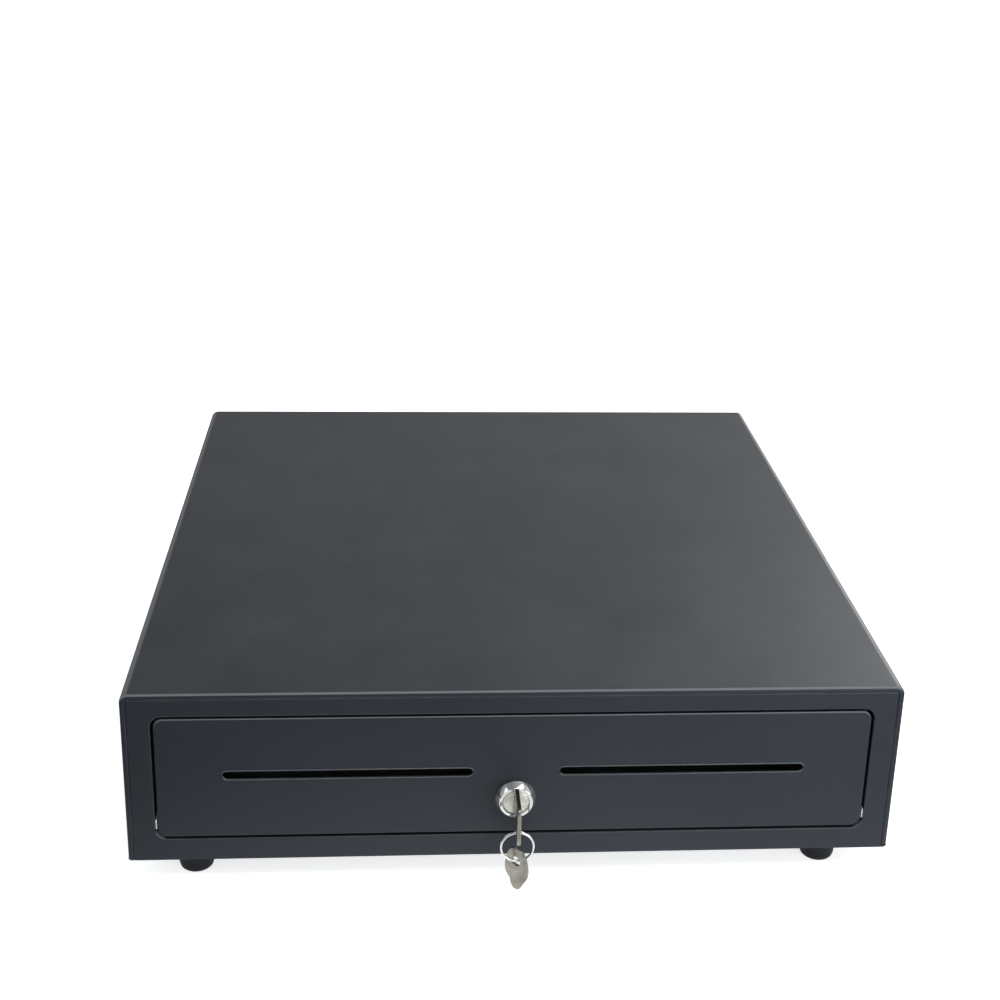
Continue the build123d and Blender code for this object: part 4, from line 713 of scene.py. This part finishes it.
def plate(outline, holes, thickness, rim):
    """A plate with rounded rims: a filled flat curve, extruded and bevelled, then made a mesh."""
    flat = bpy.data.curves.new("flat", "CURVE")
    flat.dimensions = "2D"
    flat.fill_mode = "BOTH"
    flat.extrude = thickness / 2 - rim
    flat.bevel_depth = rim
    flat.bevel_resolution = 2
    flat.offset = -rim
    flat.resolution_u = 8
    for points in (outline, *holes):
        add_spline(flat, [(x, y, 0.0) for x, y in points]).use_cyclic_u = True
    shape = as_shape(flat)
    bmesh.ops.remove_doubles(shape, verts=shape.verts, dist=merge_distance)
    return shape


# %% Helpers that repeat a shape and round a hole
def repeated(single, places):
    """One shape with a copy of another at each placing matrix."""
    pattern = bpy.data.meshes.new("pattern")
    single.to_mesh(pattern)
    single.free()
    whole = bmesh.new()
    for place in places:
        count = len(whole.verts)
        whole.from_mesh(pattern)
        whole.verts.ensure_lookup_table()
        bmesh.ops.transform(whole, matrix=place, verts=whole.verts[count:])
    bpy.data.meshes.remove(pattern)
    return whole


def round_points(x, y, radius, count=8):
    """Control points whose smooth closed curve is a circle of about this radius."""
    reach = radius / math.cos(math.pi / count) ** 2
    steps = [math.tau * index / count for index in range(count)]
    return [(x + reach * math.cos(angle), y + reach * math.sin(angle)) for angle in steps]


forwards = Matrix.Rotation(math.pi / 2, 4, "X")
backwards = Matrix.Rotation(-math.pi / 2, 4, "X")
downwards = Matrix.Rotation(math.pi, 4, "X")

# %% [markdown]
# ### The cover's front fold
#
# Folded sheet has no sharp edge, and the coat rounds it further. The front edge of the cover is the one
# that catches a thin line of light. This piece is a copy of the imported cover: its triangles are merged
# into whole faces, and the outer edges in the front plane are bevelled. The rest stays as packed. Large
# faces keep their flat look because a modifier weights the normals by area.

# %% Cover with a rounded front fold
fold_round, case_corner, near = 1.4 * mm, 5.0 * mm, 0.1 * mm
flat_angle, least_fold = math.radians(0.5), 1.0
cover = bmesh.new()
cover.from_mesh(frame["nodes"]["cover_shell"].data)
bmesh.ops.remove_doubles(cover, verts=cover.verts, dist=merge_distance)
bmesh.ops.dissolve_limit(cover, angle_limit=flat_angle, verts=cover.verts, edges=cover.edges)


def on_outline(point):
    """Whether a point of the front plane lies on the cover's outer outline or its round corners."""
    beyond_x = abs(point.x) - (cover_high.x - case_corner)
    beyond_z = point.z - (cover_high.z - case_corner)
    if beyond_x > 0 and beyond_z > 0:
        return math.hypot(beyond_x, beyond_z) > case_corner - near
    return abs(point.x) > cover_high.x - near or point.z > cover_high.z - near


fold_edges = [
    line
    for line in cover.edges
    if all(abs(corner.co.y - front_plane) < near and on_outline(corner.co) for corner in line.verts)
    and line.calc_face_angle(0.0) > least_fold
]
bmesh.ops.bevel(
    cover, geom=fold_edges, offset=fold_round, segments=5, profile=0.5, affect="EDGES", material=-1
)
print(len(fold_edges), "fold edges rounded")
folded_cover = finished(
    cover, "cover_folded", powder_coat, "housing", "cover_shell", sharp=40.0
)
weighted = folded_cover.modifiers.new("weighted", "WEIGHTED_NORMAL")
weighted.keep_sharp = True

# %% [markdown]
# ### The lock's barrel
#
# A cam lock's barrel is turned from brass bar and chromed: a wide polished cone in front, a flat face
# round the plug, and a threaded body behind. A cone mirrors the room in hard patches of light and dark,
# which a plain cylinder can't do. The profile is spun about the lock's axis, with narrow chamfers
# between its faces because those are what glint.

# %% Lock barrel
bore, recess, face, rim = 6.05 * mm, 7.15 * mm, 8.8 * mm, 11.0 * mm
recess_floor, face_height, rim_height = 3.0 * mm, 4.7 * mm, 1.1 * mm
body, thread_depth, thread_pitch, body_length = 9.5 * mm, 0.45 * mm, 1.0 * mm, 16.0 * mm
edge, barrel_steps = 0.18 * mm, 72
barrel_profile = [
    (bore, recess_floor),
    (recess, recess_floor),
    (recess, face_height - edge),
    (recess + edge, face_height),
    (face, face_height),
    (face + edge, face_height - edge),
    (rim - edge, rim_height + edge),
    (rim, rim_height - edge),
    (rim, 0.0),
    (body, 0.0),
]
for turn in range(int(body_length / thread_pitch)):
    barrel_profile += [
        (body - thread_depth, -(turn + 0.5) * thread_pitch),
        (body, -(turn + 1) * thread_pitch),
    ]
barrel_profile.append((bore, -body_length))
lock_place = Matrix.Translation((0.0, front_plane, lock_z)) @ forwards
barrel = turned(barrel_profile, barrel_steps)
bmesh.ops.transform(barrel, matrix=lock_place, verts=barrel.verts)
finished(barrel, "barrel_turned", lock_chrome, "drawer", "lock_barrel", sharp=20.0)

# %% [markdown]
# ### Keys
#
# Both keys are stamped from sheet. Stamping rolls one rim over and leaves a soft edge, so each is a
# filled flat curve with a hole, extruded and bevelled: the curve gives round outlines from few points,
# and Blender fills round the hole by itself. The one in the lock shows the camera only its edge. The
# spare hangs half turned and shows its leaf shape: widest below the hole, a nick on one side, and a
# round tip.

# %% Key in the lock
bow_size, bow_round, bow_start, key_sheet, key_rim = 22.0 * mm, 6.0 * mm, 6.2 * mm, 2.0 * mm, 0.45 * mm
ring_hole_out, ring_hole_drop, ring_hole = 20.0 * mm, 7.7 * mm, 1.6 * mm
blade_half, blade_end = 3.6 * mm, -8.0 * mm
bow_end = bow_start + bow_size
bow_half = bow_size / 2
key_outline = [
    (blade_end, -blade_half),
    (bow_start - key_rim, -blade_half),
    (bow_start, -blade_half),
    (bow_start, -bow_half + bow_round),
    (bow_start, -bow_half),
    (bow_start + bow_round, -bow_half),
    (bow_end - bow_round, -bow_half),
    (bow_end, -bow_half),
    (bow_end, -bow_half + bow_round),
    (bow_end, bow_half - bow_round),
    (bow_end, bow_half),
    (bow_end - bow_round, bow_half),
    (bow_start + bow_round, bow_half),
    (bow_start, bow_half),
    (bow_start, bow_half - bow_round),
    (bow_start, blade_half),
    (bow_start - key_rim, blade_half),
    (blade_end, blade_half),
    (blade_end - key_rim, 0.0),
]
edge_on = Matrix(((0, 0, -1, 0), (-1, 0, 0, 0), (0, 1, 0, 0), (0, 0, 0, 1)))
key_holes = [round_points(ring_hole_out, -ring_hole_drop, ring_hole)]
key = plate(key_outline, key_holes, key_sheet, key_rim)
key_place = Matrix.Translation((0.0, front_plane, lock_z)) @ edge_on
bmesh.ops.transform(key, matrix=key_place, verts=key.verts)
finished(key, "key_stamped", key_nickel, "plug", "inserted_key", sharp=40.0)

# %% Spare key
spare_sheet, spare_rim, spare_hole, spare_turn = 1.8 * mm, 0.45 * mm, 2.4 * mm, math.radians(45.0)
spare_half, spare_top, spare_tip = 7.75 * mm, 7.6 * mm, 17.5 * mm
ring_reach = 8.55 * mm
tip_half = 0.18 * spare_half
left_shares = (
    (0.34, 1.0), (0.72, 0.62), (1.0, -0.12), (1.0, -0.45),
    (0.8, -0.62), (0.5, -0.70), (0.56, -0.76), (0.36, -0.93),
)
right_shares = (
    (0.36, -0.93), (0.60, -0.72), (0.92, -0.50), (1.0, -0.34), (1.0, -0.1), (0.74, 0.6), (0.36, 1.0)
)


def leaf_point(side, share, height):
    """A point of the leaf's outline from its shares of the half width and of the top or tip."""
    return side * share * spare_half, height * (spare_top if height > 0 else spare_tip)


leaf = [leaf_point(-1, *shares) for shares in left_shares]
leaf += [(-tip_half, -spare_tip), (tip_half, -spare_tip)]
leaf += [leaf_point(1, *shares) for shares in right_shares]
spare = plate(leaf, [round_points(0.0, 0.0, spare_hole)], spare_sheet, spare_rim)
pivot = Vector((0.0, front_plane - ring_hole_out, lock_z - ring_hole_drop - 2 * ring_reach))
half_turned = Matrix.Rotation(-spare_turn, 4, "Z") @ forwards
bmesh.ops.transform(spare, matrix=Matrix.Translation(pivot) @ half_turned, verts=spare.verts)
finished(spare, "spare_key_stamped", key_nickel, "spare", "spare_key", sharp=40.0)

# %% [markdown]
# ### Split ring
#
# A key ring is spring wire wound round twice. A plain torus would lose the seam and the two ends, so a
# small oval section is swept by a spin that also moves along its axis. Both ends are then closed.

# %% Key ring
wire_across, wire_along, ring_turns, ring_steps = 0.55 * mm, 0.36 * mm, 1.94, 150
ring = bmesh.new()
section_place = Matrix.Translation((ring_reach, 0.0, -ring_turns * wire_along)) @ forwards
section = bmesh.ops.create_circle(ring, cap_ends=False, segments=12, radius=1.0)["verts"]
bmesh.ops.scale(ring, vec=(wire_across, wire_along, 1.0), verts=section)
bmesh.ops.transform(ring, matrix=section_place, verts=section)
bmesh.ops.spin(
    ring,
    geom=ring.verts[:] + ring.edges[:],
    cent=(0, 0, 0),
    axis=(0, 0, 1),
    dvec=(0.0, 0.0, 2 * ring_turns * wire_along / ring_steps),
    angle=math.tau * ring_turns,
    steps=ring_steps,
)
bmesh.ops.holes_fill(ring, edges=[side for side in ring.edges if side.is_boundary], sides=16)
ring_middle = Vector((0.0, front_plane - ring_hole_out, lock_z - ring_hole_drop - ring_reach))
bmesh.ops.transform(ring, matrix=Matrix.Translation(ring_middle) @ forwards, verts=ring.verts)
finished(ring, "split_ring", bright_steel, "ring", "key_ring")

# %% [markdown]
# ### Lips of the two slots
#
# The slots are punched, and the coat gathers on their edges while it melts. That leaves a thin rounded
# bead round each slot, lit from below and above, which keeps the slot from looking cut in paper. A ring
# of edges is spun half a turn at each end and pulled straight between.

# %% Slot lips
slot_side, slot_length, slot_gap = 88.5 * mm, 131.0 * mm, 4.8 * mm
slot_above = 51.5 * mm
bead, bead_out, end_steps, lip_merge = 0.4 * mm, 0.3 * mm, 12, 0.01 * mm
end_reach = slot_length / 2 - slot_gap / 2


def half_round(shape, edges, side):
    """Spin a ring of edges half a turn round one end of the slot, then pull it to the other end."""
    corners = list({corner for line in edges for corner in line.verts})
    half_turn = {"cent": (side * end_reach, 0, 0), "axis": (0, 1, 0), "angle": math.pi}
    spun = bmesh.ops.spin(shape, geom=corners + edges, steps=end_steps, **half_turn)["geom_last"]
    last = [part for part in spun if isinstance(part, bmesh.types.BMEdge)]
    pulled = bmesh.ops.extrude_edge_only(shape, edges=last)["geom"]
    moved = [part for part in pulled if isinstance(part, bmesh.types.BMVert)]
    bmesh.ops.translate(shape, vec=(-2 * side * end_reach, 0, 0), verts=moved)
    return [part for part in pulled if isinstance(part, bmesh.types.BMEdge) and set(part.verts) <= set(moved)]


lips = bmesh.new()
lip_start = (end_reach, 0.0, slot_gap / 2 + bead_out)
lip_place = Matrix.Translation(lip_start) @ Matrix.Rotation(math.pi / 2, 4, "Y")
bmesh.ops.create_circle(lips, cap_ends=False, segments=12, radius=bead, matrix=lip_place)
ring_edges = lips.edges[:]
for side in (1, -1):
    ring_edges = half_round(lips, ring_edges, side)
bmesh.ops.remove_doubles(lips, verts=lips.verts, dist=lip_merge)
slot_z = underside + slot_above
slot_places = [Matrix.Translation((side * slot_side, front_plane, slot_z)) for side in (-1, 1)]
finished(repeated(lips, slot_places), "slot_lips", powder_coat, "drawer")

# %% [markdown]
# ### Cross-head screws
#
# Every screw has the same make: a pan head with a cross pressed into it. The cross starts as a grid of
# nine squares without its corners, its rim is drawn up and out to make the tapered pit, a round edge is
# bridged to it, and the head and shank follow by extruding that edge.


# %% A ring of edges carried along
def carried(shape, edges, factor, rise):
    """Extrude a ring of edges, widen it about the axis and lift it; give back the new ring."""
    grown = bmesh.ops.extrude_edge_only(shape, edges=edges)["geom"]
    moved = [part for part in grown if isinstance(part, bmesh.types.BMVert)]
    bmesh.ops.scale(shape, vec=(factor, factor, 1.0), verts=moved)
    bmesh.ops.translate(shape, vec=(0.0, 0.0, rise), verts=moved)
    return [part for part in grown if isinstance(part, bmesh.types.BMEdge) and set(part.verts) <= set(moved)]


# %% A screw along its own axis
arm_share, pit_share, cross_flare, land_share = 0.34, 0.62, 1.5, 0.7
head_shares = ((0.86, 0.12), (0.96, 0.24), (1.0, 0.3), (1.0, 0.34))


def cross_screw(head_radius, head_height, shank_radius, shank_length):
    """A pan-head screw: its head's underside lies at the origin and its head points along local Z."""
    shape = bmesh.new()
    arm, pit = arm_share * head_radius, pit_share * head_height
    bmesh.ops.create_grid(shape, x_segments=3, y_segments=3, size=arm)
    middles = [(square, square.calc_center_median()) for square in shape.faces]
    corners = [square for square, middle in middles if min(abs(middle.x), abs(middle.y)) > arm / 3]
    bmesh.ops.delete(shape, geom=corners, context="FACES")
    bmesh.ops.translate(shape, vec=(0.0, 0.0, head_height - pit), verts=shape.verts)
    cross = carried(shape, [line for line in shape.edges if line.is_boundary], cross_flare, pit)
    top = Matrix.Translation((0.0, 0.0, head_height))
    before = set(shape.edges)
    radius = land_share * head_radius
    bmesh.ops.create_circle(shape, cap_ends=False, segments=32, radius=radius, matrix=top)
    ring = [line for line in shape.edges if line not in before]
    bmesh.ops.bridge_loops(shape, edges=cross + ring)
    for share, drop in head_shares:
        ring = carried(shape, ring, share * head_radius / radius, -drop * head_height)
        radius = share * head_radius
    ring = carried(shape, ring, shank_radius / radius, 0.0)
    ring = carried(shape, ring, 1.0, -shank_length)
    bmesh.ops.holes_fill(shape, edges=ring, sides=64)
    return shape


# %% [markdown]
# The screws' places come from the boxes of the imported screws, whose sides touch the outermost heads.

# %% Case screws
head_radius, case_head, screw_shank, screw_length = 4.0 * mm, 1.8 * mm, 2.0 * mm, 5.0 * mm
bottom_from_rear = 65.0 * mm
case_low, case_high = (Vector(corner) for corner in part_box("case_screws"))
side_x = case_high.x - head_radius
middle_z = (cover_low.z + cover_high.z) / 2
rear_places = [(-side_x, middle_z), (side_x, middle_z), (0.0, case_high.z - head_radius)]
bottom_ys = (case_low.y + head_radius, cover_high.y - bottom_from_rear)
case_places = [Matrix.Translation((x, cover_high.y, z)) @ backwards for x, z in rear_places]
bottom_places = [(x, y, underside) for x in (-side_x, side_x) for y in bottom_ys]
case_places += [Matrix.Translation(place) @ downwards for place in bottom_places]
case_shape = repeated(cross_screw(head_radius, case_head, screw_shank, screw_length), case_places)
finished(case_shape, "case_screws_crossed", screw_black, "housing", "case_screws")

# %% Screws of the bar
bar_head = 1.5 * mm
bar_low, bar_high = (Vector(corner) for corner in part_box("bar_screws"))
bar_side = (bar_high.x - head_radius) / 2
bar_middle = (bar_low.y + bar_high.y) / 2
bar_top = bar_high.z - bar_head
bar_places = [Matrix.Translation((count * bar_side, bar_middle, bar_top)) for count in range(-2, 3)]
bar_shape = repeated(cross_screw(head_radius, bar_head, screw_shank, screw_length), bar_places)
finished(bar_shape, "bar_screws_crossed", bright_steel, "tray", "bar_screws")

# %% Screws of the feet
foot_head_radius, foot_head = 3.0 * mm, 2.7 * mm
foot_low, foot_high = (Vector(corner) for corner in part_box("feet_screws"))
foot_xs = (foot_low.x + foot_head_radius, foot_high.x - foot_head_radius)
foot_ys = (foot_low.y + foot_head_radius, foot_high.y - foot_head_radius)
foot_z = foot_low.z + foot_head
foot_places = [Matrix.Translation((x, y, foot_z)) @ downwards for x in foot_xs for y in foot_ys]
foot_screw = cross_screw(foot_head_radius, foot_head, screw_shank, foot_high.z - foot_z)
foot_shape = repeated(foot_screw, foot_places)
finished(foot_shape, "feet_screws_crossed", screw_black, "housing", "feet_screws")

# %% [markdown]
# ### Contacts in the cable socket
#
# Six sprung wires slope across a cable socket from its upper front edge to its floor at the back. They
# are gold-plated, and they are what tells an eye that a dark hole is a socket. Each is a thin bent wire,
# drawn as a short curve with a round bevel and made a mesh.

# %% Gold
contact_gold = drawn_metal(
    "contact_gold", dark=(0.83, 0.6, 0.22), light=(0.93, 0.72, 0.32),
    stretch=(500.0, 500.0, 500.0), smooth=0.12, rough=0.24, scratch=0.002 * mm, radius=0.1 * mm,
)

# %% Gold wires
gap_half_tall, gap_depth, wire_pitch, wire_radius = 3.4 * mm, 12.0 * mm, 1.02 * mm, 0.2 * mm
wire_count, wire_start_share = 6, 0.12
wire_shares = ((0.3, 0.8), (0.85, -0.1), (0.98, -0.2))
socket_low, socket_high = (Vector(corner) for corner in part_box("jack_socket"))
socket_x = (socket_low.x + socket_high.x) / 2
gap_z = (socket_low.z + socket_high.z) / 2
mouth_y = socket_high.y
wires = bpy.data.curves.new("wires", "CURVE")
wires.dimensions = "3D"
wires.bevel_depth = wire_radius
wires.bevel_resolution = 2
wires.resolution_u = 4
for count in range(wire_count):
    x = socket_x + (count - (wire_count - 1) / 2) * wire_pitch
    points = [(x, mouth_y - wire_start_share * gap_depth, gap_z + gap_half_tall - 2 * wire_radius)]
    points += [(x, mouth_y - deep * gap_depth, gap_z + tall * gap_half_tall) for deep, tall in wire_shares]
    add_spline(wires, points).use_endpoint_u = True
contacts = as_shape(wires)
bmesh.ops.holes_fill(contacts, edges=[side for side in contacts.edges if side.is_boundary], sides=16)
finished(contacts, "socket_contacts", contact_gold, "housing")

# %% [markdown]
# ### Rubber feet
#
# A moulded foot has a flat tread, a small round at its rim and a slight taper that lets it out of the
# mould. Its screw sits deep in a recess from below. The profile is spun about the foot's own axis, and
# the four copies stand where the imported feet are.

# %% Feet
tread, foot_top_radius, foot_recess, foot_bore = 9.2 * mm, 9.8 * mm, 3.5 * mm, 2.3 * mm
foot_round, recess_depth, groove, foot_steps = 1.6 * mm, 8.0 * mm, 0.35 * mm, 48
foot_profile = [
    (foot_bore, recess_depth),
    (foot_recess, recess_depth),
    (foot_recess, groove),
    (foot_recess + groove, 0.0),
    (tread - foot_round, 0.0),
    (tread - foot_round + 2 * groove, groove),
    (tread - groove, foot_round - 2 * groove),
    (tread + groove, 2 * foot_round),
    (foot_top_radius - groove, underside - 4 * groove),
    (foot_top_radius, underside - 3 * groove),
    (foot_top_radius, underside),
    (foot_bore, underside),
]
foot_places = [Matrix.Translation((x, y, 0.0)) for x in foot_xs for y in foot_ys]
feet_shape = repeated(turned(foot_profile, foot_steps), foot_places)
finished(feet_shape, "feet_moulded", foot_rubber, "housing", "rubber_feet", sharp=50.0)

# %% [markdown]
# ### Painted glints beside the drawer
#
# A short white glint shows low in the gap on each side of the drawer front. It is painted: a thin
# white strip with rounded edges, a bevelled block stuck to the inside of the opening, stands for it.

# %% White for the painted glints
glint_white = moulded(
    "glint_white", dark=(0.70, 0.70, 0.68), light=(0.78, 0.78, 0.76), smooth=0.35, rough=0.5,
    per_metre=1500.0, depth=0.01 * mm, worn=(0.82, 0.82, 0.8), dusting=0.1,
)

# %% Strips that paint the glints
glint_thick, glint_deep, glint_tall, glint_round = 0.8 * mm, 7.0 * mm, 5.5 * mm, 0.24 * mm
glint_back, glint_above, opening_half = 0.8 * mm, 7.0 * mm, 190.0 * mm
glint_strip = bmesh.new()
bmesh.ops.create_cube(glint_strip, size=1.0)
bmesh.ops.scale(glint_strip, vec=(glint_thick, glint_deep, glint_tall), verts=glint_strip.verts)
bmesh.ops.bevel(
    glint_strip, geom=glint_strip.edges[:], offset=glint_round, segments=3, profile=0.5, affect="EDGES", material=-1
)
glint_x = opening_half - glint_thick / 2
glint_y = front_plane + glint_back + glint_deep / 2
glint_z = panel_low.z + glint_above
glint_places = [Matrix.Translation((side * glint_x, glint_y, glint_z)) for side in (-1, 1)]
# Painted glints: white strips low in the side gaps stand for the glints there.
finished(repeated(glint_strip, glint_places), "glint_strips", glint_white, "housing")
